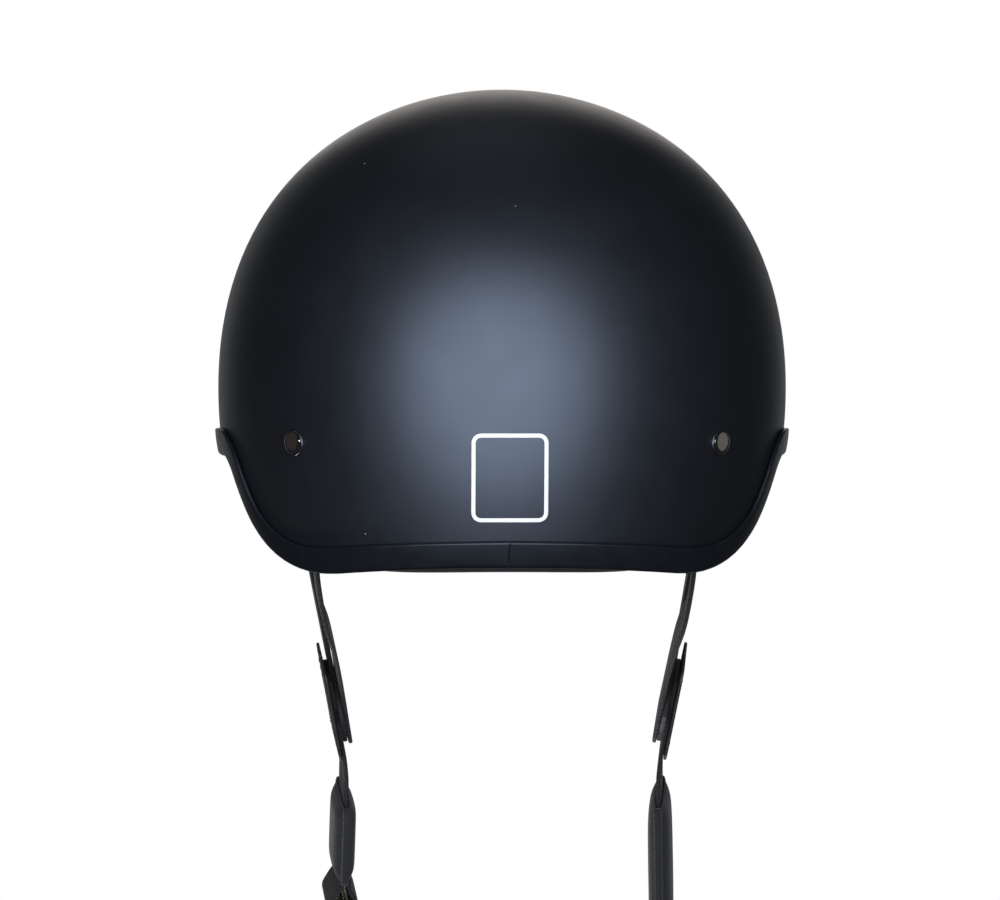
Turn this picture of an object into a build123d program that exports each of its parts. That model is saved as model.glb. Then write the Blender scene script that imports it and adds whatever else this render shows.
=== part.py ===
from build123d import *
import math
import os

# A half shell motorcycle helmet with its foam, pads, rivets and two webbing Y harnesses.
# The chin strap is open, with the two D-rings on the wearer's left.
# +Z points to the crown, the front faces -Y and +X is the wearer's left. All sizes are in mm.
# The origin lies under the crown, in the middle of the level where the shell is widest.

# Shell, foam and comfort pads
shell_width = 226.0
shell_rear_reach = 116.0
shell_front_reach = 156.0
shell_crown_height = 118.5
shell_wall = 3.5
skirt_depth = 80.0
skirt_tuck_share = 0.156
flank_share = 0.72
crown_share = 0.45
foam_side = 20.0
foam_end = 26.0
foam_crown = 28.0
pad_thickness = 7.0
crown_pad_width_share = 0.44
crown_pad_length_share = 0.40
brow_pad_top_share = 0.27
brow_pad_back_share = 0.36
temple_pad_top_share = 0.34
temple_pad_back_share = 0.19
nape_pad_side_share = 0.60
nape_pad_top_share = 0.16
seat_gap = 0.3

# Rim line seen from the side, at the shell's lower edge
brow_drop = 3.0
ear_drop = 25.0
ear_front_share = 0.40
ear_back = 33.0
corner_back = 52.0
corner_drop = 72.0
nape_drop = 64.0
ear_front_radius = 150.0
ear_back_radius = 14.0
corner_radius = 35.0
foam_rise = 1.5

# Rubber edge trim, a channel that grips the rim
trim_height = 11.2
trim_leg = 1.6
trim_web = 1.8
trim_gap = 0.2
trim_joint = 0.4

# Rivets, washers and anchor plates
rivet_head_diameter = 9.8
rivet_head_height = 2.7
rivet_shank_diameter = 4.0
rivet_tail_diameter = 7.0
rivet_tail_height = 1.3
rivet_shoulder_share = 0.7
rivet_tail_share = 0.8
rivet_hole_clearance = 0.3
washer_diameter = 9.0
washer_thickness = 1.2
plate_width = 22.0
plate_height = 13.0
plate_thickness = 1.2
plate_corner = 3.0
stack_gap = 0.1
rear_rivet_along_share = 0.687
rear_rivet_drop = 20.8
front_rivet_along_share = -0.436
front_rivet_rise = 13.0

# Webbing and its route, as shares of half width, reach and corner drop
strap_width = 25.0
strap_thickness = 1.8
strap_end_above = 12.0
strap_end_below = 9.0
pocket_side = 1.5
pocket_back = 2.0
rear_exit_shares = (0.652, 0.428, 0.917)
rear_hinge_shares = (0.628, 0.374, 1.194)
front_exit_shares = (0.784, -0.304, 0.375)
front_hinge_shares = (0.734, -0.226, 0.639)
meet_shares = (0.580, 0.069, 1.722)
hinge_gap = 0.4
chin_tilt = 18.0

# Chin straps
leg_knee_share = 0.42
strap_lap = 13.0
strap_plain = 18.0
strap_bend_radius = 90.0
short_strap_drop = 46.0
long_strap_drop = 172.0
patch_width = 36.0
patch_height = 40.0
patch_thickness = 1.2
patch_corner = 5.0
sleeve_width = 36.0
sleeve_thickness = 10.0
sleeve_corner = 4.0
sleeve_inset = 4.0
short_sleeve_length = 34.0
long_sleeve_length = 72.0
hem_length = 24.0

# D-rings
ring_wire = 4.0
ring_opening = 27.5
ring_corner = 4.0
ring_clearance = 0.45

# Press stud
snap_diameter = 12.5
snap_cap_height = 2.4
snap_barrel_diameter = 4.0
snap_socket_height = 3.2
snap_socket_bore = 7.4
snap_stud_diameter = 7.0
snap_stud_height = 3.4
snap_flange = 1.0
snap_inset = 13.0
snap_spacing = 62.0

# Transfer on the centre of the back
decal_width = 28.5
decal_height = 33.0
decal_drop = 33.4
decal_corner = 3.5
decal_film = 0.3
decal_lift = 0.05

overrun = 40.0
half_width = shell_width / 2


def width_share(height):
    """Width of the dome at a height, as a share of its greatest width."""
    if height < 0:
        return 1 - skirt_tuck_share * (height / skirt_depth) ** 2
    low, high = 0.0, 1.0
    for _ in range(50):
        t = (low + high) / 2
        rise = 3 * (1 - t) ** 2 * t * flank_share + 3 * (1 - t) * t ** 2 + t ** 3
        if rise * shell_crown_height < height:
            low = t
        else:
            high = t
    return (1 - t) ** 3 + 3 * (1 - t) ** 2 * t + 3 * (1 - t) * t ** 2 * crown_share


def along(share):
    """Place along the helmet: a share of the rear reach, or of the front reach if negative."""
    return share * (shell_rear_reach if share > 0 else shell_front_reach)


def surface_frame(along_share, height):
    """Point on the left side of the shell's outer face, and the direction out of it."""
    y = along(along_share)
    reach = shell_rear_reach if y > 0 else shell_front_reach
    share = width_share(height)
    x = half_width * math.sqrt(share ** 2 - (y / reach) ** 2)
    step = shell_width / 1000
    slope = (width_share(height + step) - width_share(height - step)) / (2 * step)
    out = Vector(x / half_width ** 2, y / reach ** 2, -share * slope).normalized()
    return Vector(x, y, height), out


def place(shares):
    """Place beside the head from shares of half width, reach and corner drop."""
    across_share, along_share, drop_share = shares
    return Vector(across_share * half_width, along(along_share), -drop_share * corner_drop)


def dome(side_inset, end_inset, crown_inset):
    """Solid dome that lies inside the shell's outer face by the three insets."""
    radius = half_width - side_inset
    height = shell_crown_height - crown_inset
    foot = radius * (1 - skirt_tuck_share)
    with BuildSketch(Plane.XZ) as section:
        with BuildLine():
            Bezier((0, height), (crown_share * radius, height), (radius, flank_share * height), (radius, 0))
            Bezier((radius, 0), (radius, -skirt_depth / 2), (foot, -skirt_depth))
            Polyline((foot, -skirt_depth), (0, -skirt_depth), (0, height))
        make_face()
    rear = revolve(section.sketch, axis=Axis.Z, revolution_arc=180)
    front = revolve(section.sketch, axis=Axis.Z, revolution_arc=-180)
    rear = scale(rear, by=(1, (shell_rear_reach - end_inset) / radius, 1))
    front = scale(front, by=(1, (shell_front_reach - end_inset) / radius, 1))
    return rear + front


def even_dome(inset):
    """Solid dome that lies inside the shell's outer face by one inset all round."""
    return dome(inset, inset, inset)


def foam_dome(inset):
    """Solid dome that lies inside the foam's inner face by one inset all round."""
    layers = shell_wall + seat_gap + inset
    return dome(layers + foam_side, layers + foam_end, layers + foam_crown)


def above_rim(rise):
    """Everything above a line that runs a given distance inside the rim."""
    front = -shell_front_reach - overrun
    back = shell_rear_reach + overrun
    ear_front = -ear_front_share * shell_front_reach
    brow_slope = (ear_drop - brow_drop) / (shell_front_reach + ear_front)
    nape_slope = (corner_drop - nape_drop) / (shell_rear_reach - corner_back)
    start = (front, -brow_drop + overrun * brow_slope)
    end = (back, -nape_drop + overrun * nape_slope)
    top = shell_crown_height + overrun
    with BuildSketch(Plane.YZ) as region:
        with BuildLine():
            FilletPolyline(
                start,
                (ear_front, -ear_drop),
                (ear_back, -ear_drop),
                (corner_back, -corner_drop),
                end,
                radius=[ear_front_radius, ear_back_radius, corner_radius],
            )
            Polyline(end, (back, top), (front, top), start)
        make_face()
    line = offset(region.sketch, amount=-rise) if rise else region.sketch
    return extrude(line, amount=half_width + overrun, both=True)


def rim_strip(low, high):
    """Band along the rim between two distances inside it."""
    return above_rim(low) - above_rim(high)


def slab(low, high):
    """Box between two corners."""
    size = high - low
    box = Box(size.X, size.Y, size.Z, align=(Align.MIN, Align.MIN, Align.MIN))
    return Location(low) * box


def ribbon(stations, width, thickness):
    """Flat band through stations of centre, across and facing vectors."""
    wires = []
    for centre, across, facing in stations:
        edge = across * (width / 2)
        skin = facing * (thickness / 2)
        corners = [centre - edge - skin, centre + edge - skin, centre + edge + skin, centre - edge + skin]
        wires.append(Wire.make_polygon(corners, close=True))
    return Part(Solid.make_loft(wires, ruled=True).wrapped)


def mirrored(piece):
    """The same piece on the wearer's right."""
    return mirror(piece, about=Plane.YZ)


# Directions of the left harness: the hinge runs through both points where the webbing leaves the rim
rear_hinge = place(rear_hinge_shares)
front_hinge = place(front_hinge_shares)
rear_exit = place(rear_exit_shares)
front_exit = place(front_exit_shares)
meet = place(meet_shares)
hinge_axis = (rear_hinge - front_hinge).normalized()
harness_out = (front_hinge - meet).cross(rear_hinge - meet).normalized()
if harness_out.X < 0:
    harness_out = -harness_out
plumb = (Vector(0, 0, -1) - harness_out * (-harness_out.Z)).normalized()
chin_down = plumb.rotate(Axis((0, 0, 0), harness_out), chin_tilt)
if chin_down.Y > plumb.Y:
    chin_down = plumb.rotate(Axis((0, 0, 0), harness_out), -chin_tilt)
chin_across = harness_out.cross(chin_down)
bend_angle = math.atan(harness_out.Z / chin_down.Z)
layer_step = strap_thickness + stack_gap / 2


class Anchor:
    """One riveted strap end: its rivet, the stack under it and the route out of the rim."""

    def __init__(self, along_share, height, exit_point, hinge_point):
        self.seat, self.out = surface_frame(along_share, height)
        reach = exit_point - self.seat
        self.down = (reach - self.out * reach.dot(self.out)).normalized()
        self.across = self.out.cross(self.down)
        self.plane = Plane(origin=self.seat, x_dir=self.across, z_dir=self.out)
        self.washer_depth = shell_wall + stack_gap
        self.strap_depth = self.washer_depth + washer_thickness + stack_gap / 2
        self.plate_depth = self.strap_depth + strap_thickness + stack_gap / 2
        self.tail_depth = self.plate_depth + plate_thickness
        self.exit_point = exit_point
        self.hinge_point = hinge_point

    def at(self, down, depth):
        """Point a given way down the strap from the rivet and under the shell's outer face."""
        return self.seat + self.down * down - self.out * depth

    def route(self):
        """Stations of the strap end from above the rivet to the hinge."""
        middle = self.strap_depth + strap_thickness / 2
        top = self.at(-strap_end_above, middle)
        low = self.at(strap_end_below, middle)
        last = (self.hinge_point - self.exit_point).normalized()
        turned = hinge_axis.cross(last).normalized()
        if turned.dot(self.out) < 0:
            turned = -turned
        side = turned.cross(last)
        if side.dot(self.across) < 0:
            side = -side
        lean = hinge_axis if hinge_axis.dot(side) > 0 else -hinge_axis
        oblique = lean * (1 / abs(lean.dot(side)))
        half_facing = (self.out + turned).normalized()
        half_run = (self.exit_point - low).normalized()
        half_side = half_facing.cross(half_run).normalized()
        if half_side.dot(self.across) < 0:
            half_side = -half_side
        halfway = (low + self.exit_point) * 0.5
        return [
            (top, self.across, self.out),
            (low, self.across, self.out),
            (halfway, half_side, half_facing),
            (self.exit_point, side, turned),
            (self.hinge_point, oblique, turned),
        ]


rear_anchor = Anchor(rear_rivet_along_share, -rear_rivet_drop, rear_exit, rear_hinge)
front_anchor = Anchor(front_rivet_along_share, front_rivet_rise, front_exit, front_hinge)
anchors = {"rear": rear_anchor, "front": front_anchor}


def rivet_bore(anchor, diameter, depth):
    """Cylinder along a rivet, through the stack."""
    bore = Cylinder(diameter / 2, depth * 2)
    return anchor.plane * bore


def both_sides(piece):
    """A left piece and its mirror image as a list of cutters."""
    return [piece, mirrored(piece)]


def outer_shell():
    """Moulded half shell with the four rivet holes."""
    shell = (even_dome(0) - even_dome(shell_wall)) & above_rim(0)
    for anchor in anchors.values():
        hole = rivet_bore(anchor, rivet_shank_diameter + rivet_hole_clearance, shell_wall * 2)
        for cutter in both_sides(hole):
            shell = shell - cutter
    return shell


def edge_trim():
    """Rubber channel over the rim, open at the butt joint on the centre of the back."""
    low = trim_gap + trim_web
    body = even_dome(-trim_gap - trim_leg) - even_dome(shell_wall + trim_gap + trim_leg)
    body = body & rim_strip(-low, trim_height - low)
    room = (even_dome(-trim_gap) - even_dome(shell_wall + trim_gap)) & above_rim(-trim_gap)
    joint = slab(
        Vector(-trim_joint / 2, 0, -corner_drop - overrun),
        Vector(trim_joint / 2, shell_rear_reach + overrun, 0),
    )
    return body - room - joint


def strap_pocket(anchor):
    """Recess in the foam for a strap end, open towards the shell."""
    stations = []
    reach_out = shell_wall + washer_thickness + strap_thickness * 2 + pocket_back
    for centre, across, facing in anchor.route():
        stations.append((centre + facing * (reach_out / 2 - pocket_back), across, facing))
    first, across, facing = stations[0]
    stations[0] = (first - anchor.down * pocket_side * 2, across, facing)
    cutter = ribbon(stations, strap_width + 2 * pocket_side, reach_out + 2 * pocket_back)
    tail_room = anchor.tail_depth + rivet_tail_height + seat_gap
    plate_room = Box(plate_width + seat_gap * 4, plate_height + seat_gap * 4, tail_room * 2)
    return cutter + anchor.plane * plate_room


def eps_liner():
    """Foam between shell and pads, with room for the trim, the rivets and the strap ends."""
    foam = (even_dome(shell_wall + seat_gap) - foam_dome(0)) & above_rim(foam_rise)
    trim_room = even_dome(0) - even_dome(shell_wall + trim_gap + trim_leg + seat_gap)
    foam = foam - (trim_room & rim_strip(-overrun / 4, trim_height + seat_gap))
    for anchor in anchors.values():
        for cutter in both_sides(strap_pocket(anchor)):
            foam = foam - cutter
    return foam


def pad_layer():
    """Layer of even thickness against the foam, from which each pad is cut."""
    return foam_dome(seat_gap) - foam_dome(seat_gap + pad_thickness)


def comfort_pads():
    """The five pads, by node name."""
    layer = pad_layer()
    crown_back = -(shell_front_reach - shell_rear_reach) / 2
    crown_cut = Ellipse(half_width * crown_pad_width_share, shell_front_reach * crown_pad_length_share)
    crown_cut = extrude(crown_cut, amount=shell_crown_height)
    margin = trim_height / 2
    brow_top = shell_crown_height * brow_pad_top_share
    temple_top = shell_crown_height * temple_pad_top_share
    brow_end = -shell_front_reach * brow_pad_back_share
    temple_front = brow_end + pad_thickness / 2
    temple_back = shell_rear_reach * temple_pad_back_share
    far = shell_front_reach + overrun
    brow_cut = slab(Vector(-far, -far, -far), Vector(far, brow_end, brow_top))
    temple_cut = slab(Vector(0, temple_front, -far), Vector(far, temple_back, temple_top))
    inside = above_rim(margin)
    return {
        "crown_pad": layer & (Location((0, crown_back, 0)) * crown_cut),
        "brow_pad": layer & brow_cut & inside,
        "temple_pad_left": layer & temple_cut & inside,
        "temple_pad_right": mirrored(layer & temple_cut & inside),
        "nape_pad": nape_pad(layer),
    }


def nape_pad(layer):
    """Pad across the back of the neck, whose lower edge shows under the trim."""
    side = half_width * nape_pad_side_share
    low = corner_drop - trim_web
    low_side = corner_drop + trim_web / 2
    top = skirt_depth * nape_pad_top_share
    top_side = top * 2
    with BuildSketch(Plane.XZ) as outline:
        with BuildLine():
            ThreePointArc((-side, -low_side), (0, -low), (side, -low_side))
            Line((side, -low_side), (side, -top_side))
            ThreePointArc((side, -top_side), (0, -top), (-side, -top_side))
            Line((-side, -top_side), (-side, -low_side))
        make_face()
    return layer & extrude(outline.sketch, amount=-shell_rear_reach)


def rivet(anchor):
    """Domed head, shank and flared tail."""
    head = rivet_head_diameter / 2
    shank = rivet_shank_diameter / 2
    tail = rivet_tail_diameter / 2
    rim = rivet_head_height / 4
    shoulder = rivet_head_height * rivet_shoulder_share
    with BuildSketch(Plane.XZ) as section:
        with BuildLine():
            Bezier((head, rim), (head, shoulder), (head / 2, rivet_head_height), (0, rivet_head_height))
            Polyline(
                (0, rivet_head_height),
                (0, -anchor.tail_depth - rivet_tail_height),
                (tail * rivet_tail_share, -anchor.tail_depth - rivet_tail_height),
                (tail, -anchor.tail_depth - rivet_tail_height / 2),
                (tail, -anchor.tail_depth),
                (shank, -anchor.tail_depth),
                (shank, 0),
                (head, 0),
                (head, rim),
            )
        make_face()
    return anchor.plane * revolve(section.sketch, axis=Axis.Z)


def rivet_washer(anchor):
    """Washer between shell and webbing."""
    ring = Circle(washer_diameter / 2) - Circle(rivet_shank_diameter / 2 + rivet_hole_clearance)
    ring = extrude(ring, amount=washer_thickness)
    return anchor.plane * (Location((0, 0, -anchor.washer_depth - washer_thickness)) * ring)


def anchor_plate(anchor):
    """Steel plate that spreads the rivet's load over the webbing."""
    outline = RectangleRounded(plate_width, plate_height, plate_corner)
    outline = outline - Circle(rivet_shank_diameter / 2 + rivet_hole_clearance)
    plate = extrude(outline, amount=plate_thickness)
    return anchor.plane * (Location((0, 0, -anchor.tail_depth)) * plate)


def hinge_rod(radius):
    """Cylinder along the harness hinge."""
    reach = (rear_hinge - front_hinge).length + strap_width * 4
    start = front_hinge - hinge_axis * (strap_width * 2)
    return Plane(origin=start, z_dir=hinge_axis) * Cylinder(
        radius, reach, align=(Align.CENTER, Align.CENTER, Align.MIN)
    )


def strap_end(anchor):
    """Webbing from the rivet to just short of the hinge, rounded out round it."""
    webbing = ribbon(anchor.route(), strap_width, strap_thickness)
    webbing = webbing - rivet_bore(anchor, rivet_shank_diameter + rivet_hole_clearance, shell_wall * 6)
    webbing = webbing - hinge_rod(strap_thickness / 2 + hinge_gap)
    return webbing.solids().sort_by(SortBy.VOLUME)[-1]


def leg(hinge_point, layer):
    """Webbing leg from the hinge to its layer where the harness meets, with a round upper end."""
    run = (meet - hinge_point).normalized()
    side = harness_out.cross(run)
    lean = hinge_axis if hinge_axis.dot(side) > 0 else -hinge_axis
    oblique = lean * (1 / lean.dot(side))
    lift = harness_out * (layer * layer_step)
    knee = hinge_point + (meet - hinge_point) * leg_knee_share + lift
    stations = [
        (hinge_point, oblique, harness_out),
        (knee, side, harness_out),
        (meet + run * strap_lap + lift, side, harness_out),
    ]
    if layer == 0:
        stations.pop(1)
    webbing = ribbon(stations, strap_width, strap_thickness)
    edge = oblique * (strap_width / 2)
    knuckle = Plane(origin=hinge_point - edge, z_dir=edge) * Cylinder(
        strap_thickness / 2, edge.length * 2, align=(Align.CENTER, Align.CENTER, Align.MIN)
    )
    return webbing + knuckle


def chin_path(drop):
    """Corners and arcs of a chin strap's side line, as (across the webbing, down it) pairs."""
    turn = bend_angle
    radius = strap_bend_radius
    bend_end = (radius * (1 - math.cos(turn)), strap_plain + radius * math.sin(turn))
    heading = (math.sin(turn), math.cos(turn))
    tip = (bend_end[0] + heading[0] * drop, bend_end[1] + heading[1] * drop)
    return bend_end, heading, tip


def chin_plane():
    """Plane across the chin strap at the meeting point: out of the webbing, then down it."""
    return Plane(origin=meet + harness_out * layer_step, x_dir=harness_out, z_dir=chin_across)


def chin_frame(drop):
    """Frame on the straight stretch: X along the webbing's width, Y out of it, Z up it."""
    bend_end, heading, tip = chin_path(drop)
    plane = chin_plane()
    origin = plane.from_local_coords(Vector(tip[0], tip[1], 0))
    up = -(plane.x_dir * heading[0] + plane.y_dir * heading[1])
    return Plane(origin=origin, x_dir=-chin_across, z_dir=up)


def chin_band(drop, thickness, shift):
    """Webbing band from the lap, round the bend and down a straight drop."""
    bend_end, heading, tip = chin_path(drop)
    half = thickness / 2
    turn = bend_angle / 2
    radius = strap_bend_radius

    def rail(offset_out):
        arc = radius - offset_out
        middle = (radius - arc * math.cos(turn), strap_plain + arc * math.sin(turn))
        after = (bend_end[0] + heading[1] * offset_out, bend_end[1] - heading[0] * offset_out)
        last = (tip[0] + heading[1] * offset_out, tip[1] - heading[0] * offset_out)
        return (offset_out, -strap_lap), (offset_out, strap_plain), middle, after, last

    outer = rail(shift + half)
    inner = rail(shift - half)
    with BuildSketch(chin_plane()) as section:
        with BuildLine():
            Line(outer[0], outer[1])
            ThreePointArc(outer[1], outer[2], outer[3])
            Polyline(outer[3], outer[4], inner[4], inner[3])
            ThreePointArc(inner[3], inner[2], inner[1])
            Polyline(inner[1], inner[0], outer[0])
        make_face()
    return extrude(section.sketch, amount=strap_width / 2, both=True)


def ring_offset():
    """Distance of each D-ring's bar from the middle of the webbing loop."""
    return ring_wire / 2 + ring_clearance / 2


def loop_inner():
    """Half height of the webbing loop's inside."""
    return ring_wire / 2 + ring_clearance


def chin_strap_left():
    """Short chin strap, its end folded round the bars of both D-rings."""
    band = chin_band(short_strap_drop, strap_thickness, 0)
    frame = chin_frame(short_strap_drop)
    inside = loop_inner()
    outside = inside + strap_thickness
    spread = 2 * ring_offset()
    with BuildSketch(Plane.YZ) as section:
        SlotCenterToCenter(spread, 2 * outside)
        SlotCenterToCenter(spread, 2 * inside, mode=Mode.SUBTRACT)
    loop = extrude(section.sketch, amount=strap_width / 2, both=True)
    hold = Location((0, 0, -outside + strap_thickness / 2))
    return band + frame * (hold * loop)


def d_ring(side):
    """D-ring whose bar lies in the webbing loop; side is 1 for the outer and -1 for the inner ring."""
    frame = chin_frame(short_strap_drop)
    wire = ring_wire / 2
    half_bar = ring_opening / 2 + wire
    straight = half_bar - ring_corner
    centre_drop = loop_inner() + strap_thickness / 2
    bar = Rot(0, 90, 0) * Cylinder(wire, 2 * straight)
    bow = Location((0, 0, -ring_corner)) * half_torus(half_bar, wire)
    ring = bar + bow
    for way in (1, -1):
        corner = quarter_torus(ring_corner, wire)
        corner = corner if way > 0 else mirror(corner, about=Plane.YZ)
        ring = ring + Location((way * straight, 0, -ring_corner)) * corner
    hold = Location((0, side * ring_offset(), -centre_drop))
    return frame * (hold * ring)


def half_torus(radius, wire):
    """Lower half of a torus in the XZ plane."""
    section = Plane.XY * Location((radius, 0, 0)) * Circle(wire)
    return revolve(section, axis=Axis.Y, revolution_arc=180)


def quarter_torus(radius, wire):
    """Upper outer quarter of a torus in the XZ plane."""
    section = Plane.XY * Location((radius, 0, 0)) * Circle(wire)
    return revolve(section, axis=Axis.Y, revolution_arc=-90)


def sleeve(drop_start, length):
    """Padded sleeve with a slot for the webbing, on the straight stretch of a chin strap."""
    frame = chin_frame(drop_start + length / 2)
    body = Box(sleeve_width, sleeve_thickness, length)
    body = fillet(body.edges().filter_by(Axis.Z), sleeve_corner)
    slot = Box(strap_width + 2 * seat_gap, strap_thickness + 2 * seat_gap, length + overrun)
    return frame * (body - slot)


def snap_frames():
    """Frames of the stud and of the end socket on the long chin strap."""
    end = long_strap_drop - snap_inset
    return chin_frame(end - snap_spacing), chin_frame(end)


def lathe(points):
    """Turned piece from (radius, height) points, its axis out of the webbing."""
    with BuildSketch(Plane.XZ) as section:
        with BuildLine():
            Polyline(*points, close=True)
        make_face()
    return Rot(-90, 0, 0) * revolve(section.sketch, axis=Axis.Z)


def chin_strap_right():
    """Long chin strap with a folded hem and the holes of the press stud."""
    band = chin_band(long_strap_drop, strap_thickness, 0)
    hem_frame = chin_frame(long_strap_drop - hem_length / 2)
    hem = Box(strap_width, strap_thickness, hem_length)
    band = band + hem_frame * (Location((0, -strap_thickness, 0)) * hem)
    hole = Rot(90, 0, 0) * Cylinder((snap_barrel_diameter + stack_gap) / 2, strap_thickness * 6)
    for frame in snap_frames():
        band = band - frame * hole
    return band


def snap_pieces():
    """The four pieces of the press stud, by node name."""
    stud_frame, end_frame = snap_frames()
    face = strap_thickness / 2 + stack_gap / 2
    hem_back = face + strap_thickness
    rim = snap_diameter / 2
    barrel = (snap_barrel_diameter - stack_gap) / 2
    bore = snap_socket_bore / 2
    stud = snap_stud_diameter / 2
    base = rim - snap_flange
    neck = stud - snap_flange / 2
    cap_top = hem_back + snap_cap_height
    cap = lathe([
        (0, face), (barrel, face), (barrel, -hem_back), (rim, -hem_back),
        (rim, -hem_back - snap_cap_height / 2), (rim - snap_cap_height, -cap_top), (0, -cap_top),
    ])
    socket_top = face + snap_socket_height
    socket = lathe([
        (0, face + stack_gap), (base, face + stack_gap), (rim, face + snap_flange),
        (base, socket_top), (bore, socket_top), (bore, face + snap_flange), (0, face + snap_flange),
    ])
    stud_top = face + snap_stud_height
    stud_piece = lathe([
        (0, face), (base, face), (base, face + snap_flange), (neck, face + snap_flange),
        (stud, stud_top - snap_flange), (neck, stud_top), (0, stud_top),
    ])
    post = lathe([
        (0, face - stack_gap), (barrel, face - stack_gap), (barrel, -face), (base, -face),
        (base - snap_flange, -face - snap_flange), (0, -face - snap_flange),
    ])
    return {
        "snap_cap": end_frame * cap,
        "snap_socket": end_frame * socket,
        "snap_stud": stud_frame * stud_piece,
        "snap_post": stud_frame * post,
    }


def junction_patch():
    """Sewn patch over the outside of the place where the webbing meets."""
    frame = Plane(origin=meet, x_dir=chin_across, z_dir=harness_out)
    outline = RectangleRounded(patch_width, patch_height, patch_corner)
    patch = extrude(outline, amount=patch_thickness)
    lift = layer_step + strap_thickness / 2 + stack_gap / 2
    return frame * (Location((0, 0, lift)) * patch)


def rear_decal():
    """Thin transfer that follows the shell on the centre of the back."""
    film = even_dome(-decal_lift - decal_film) - even_dome(-decal_lift)
    with BuildSketch(Plane.XZ) as outline:
        with Locations((0, -decal_drop)):
            RectangleRounded(decal_width, decal_height, decal_corner)
    return film & extrude(outline.sketch, amount=-shell_rear_reach - overrun)


def helmet():
    """Every node of the helmet by name."""
    nodes = {
        "outer_shell": outer_shell(),
        "edge_trim": edge_trim(),
        "eps_liner": eps_liner(),
        "rear_decal": rear_decal(),
    }
    nodes.update(comfort_pads())
    washers = []
    for end, anchor in anchors.items():
        left_pieces = {
            "rivet_" + end: rivet(anchor),
            "anchor_plate_" + end: anchor_plate(anchor),
            "strap_end_" + end: strap_end(anchor),
        }
        for name, piece in left_pieces.items():
            nodes[name + "_left"] = piece
            nodes[name + "_right"] = mirrored(piece)
        washers += both_sides(rivet_washer(anchor))
    nodes["rivet_washers"] = Compound(children=washers)
    harness = {
        "rear_leg": leg(rear_hinge, -1),
        "front_leg": leg(front_hinge, 0),
        "junction_patch": junction_patch(),
    }
    for name, piece in harness.items():
        nodes[name + "_left"] = piece
        nodes[name + "_right"] = mirrored(piece)
    nodes["chin_strap_left"] = chin_strap_left()
    nodes["chin_strap_right"] = mirrored(chin_strap_right())
    nodes["jaw_pad_left"] = sleeve(sleeve_inset, short_sleeve_length)
    nodes["jaw_pad_right"] = mirrored(sleeve(sleeve_inset, long_sleeve_length))
    nodes["d_ring_outer"] = d_ring(1)
    nodes["d_ring_inner"] = d_ring(-1)
    for name, piece in snap_pieces().items():
        nodes[name] = mirrored(piece)
    return nodes


def main():
    """Write one STEP file for each node."""
    os.makedirs("parts", exist_ok=True)
    for name, piece in helmet().items():
        export_step(piece, os.path.join("parts", name + ".step"))
    ring_frame = chin_frame(short_strap_drop)
    print("hinge front", front_hinge, "rear", rear_hinge, "axis", hinge_axis)
    print("ring frame", ring_frame.origin, "bar", ring_frame.x_dir, "out", ring_frame.y_dir)
    print("bend", math.degrees(bend_angle), "harness out", harness_out, "chin down", chin_down)


main()
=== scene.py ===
# %% [markdown]
# A half shell motorcycle helmet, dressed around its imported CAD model. The CAD model fixes every size and
# every joint. Each cell below makes one piece or one finish of it, and the cells run from top to bottom.
# All lengths are in metres, in the CAD model's own frame: +Z points to the crown, the front of the helmet
# faces -Y and +X is the wearer's left.

# %% Load the CAD model
import math

import bpy
from mathutils import Matrix, Vector


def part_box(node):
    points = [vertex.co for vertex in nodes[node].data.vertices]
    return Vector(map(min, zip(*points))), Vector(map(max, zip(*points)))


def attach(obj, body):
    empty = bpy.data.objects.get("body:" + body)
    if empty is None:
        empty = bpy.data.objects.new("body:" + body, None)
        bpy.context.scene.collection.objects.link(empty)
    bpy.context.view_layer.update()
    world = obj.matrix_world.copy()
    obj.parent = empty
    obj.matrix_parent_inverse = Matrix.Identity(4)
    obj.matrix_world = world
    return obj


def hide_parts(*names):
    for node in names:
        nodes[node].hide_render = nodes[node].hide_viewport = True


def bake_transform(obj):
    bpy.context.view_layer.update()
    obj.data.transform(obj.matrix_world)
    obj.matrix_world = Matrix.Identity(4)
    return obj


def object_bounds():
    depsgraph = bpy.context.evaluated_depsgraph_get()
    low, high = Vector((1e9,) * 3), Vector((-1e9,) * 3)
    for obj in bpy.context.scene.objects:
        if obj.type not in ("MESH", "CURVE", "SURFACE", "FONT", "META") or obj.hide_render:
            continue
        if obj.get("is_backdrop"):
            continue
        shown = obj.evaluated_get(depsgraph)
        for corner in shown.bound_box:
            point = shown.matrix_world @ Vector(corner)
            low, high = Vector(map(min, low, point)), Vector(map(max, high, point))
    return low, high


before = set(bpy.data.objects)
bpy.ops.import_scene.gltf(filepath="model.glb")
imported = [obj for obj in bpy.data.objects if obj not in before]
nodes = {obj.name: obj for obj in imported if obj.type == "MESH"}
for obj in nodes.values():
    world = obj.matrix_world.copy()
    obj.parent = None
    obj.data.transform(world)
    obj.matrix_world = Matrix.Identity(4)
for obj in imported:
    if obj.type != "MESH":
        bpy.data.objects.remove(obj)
cad_low, cad_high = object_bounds()
mm = 0.001
print("CAD nodes:", len(nodes), "box in mm:", [round(side / mm, 1) for side in cad_high - cad_low])

# %% [markdown]
# The photograph looks at the back of the helmet from its own height, with a long lens and almost no
# perspective. A camera could be matched by eye, but the shell's known width gives it directly: at this
# focal length one pixel is 0.4 mm at the widest part of the shell. It stands a little to the left of the
# centre line and looks slightly down, which puts the widest level above the middle of the picture.

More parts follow.
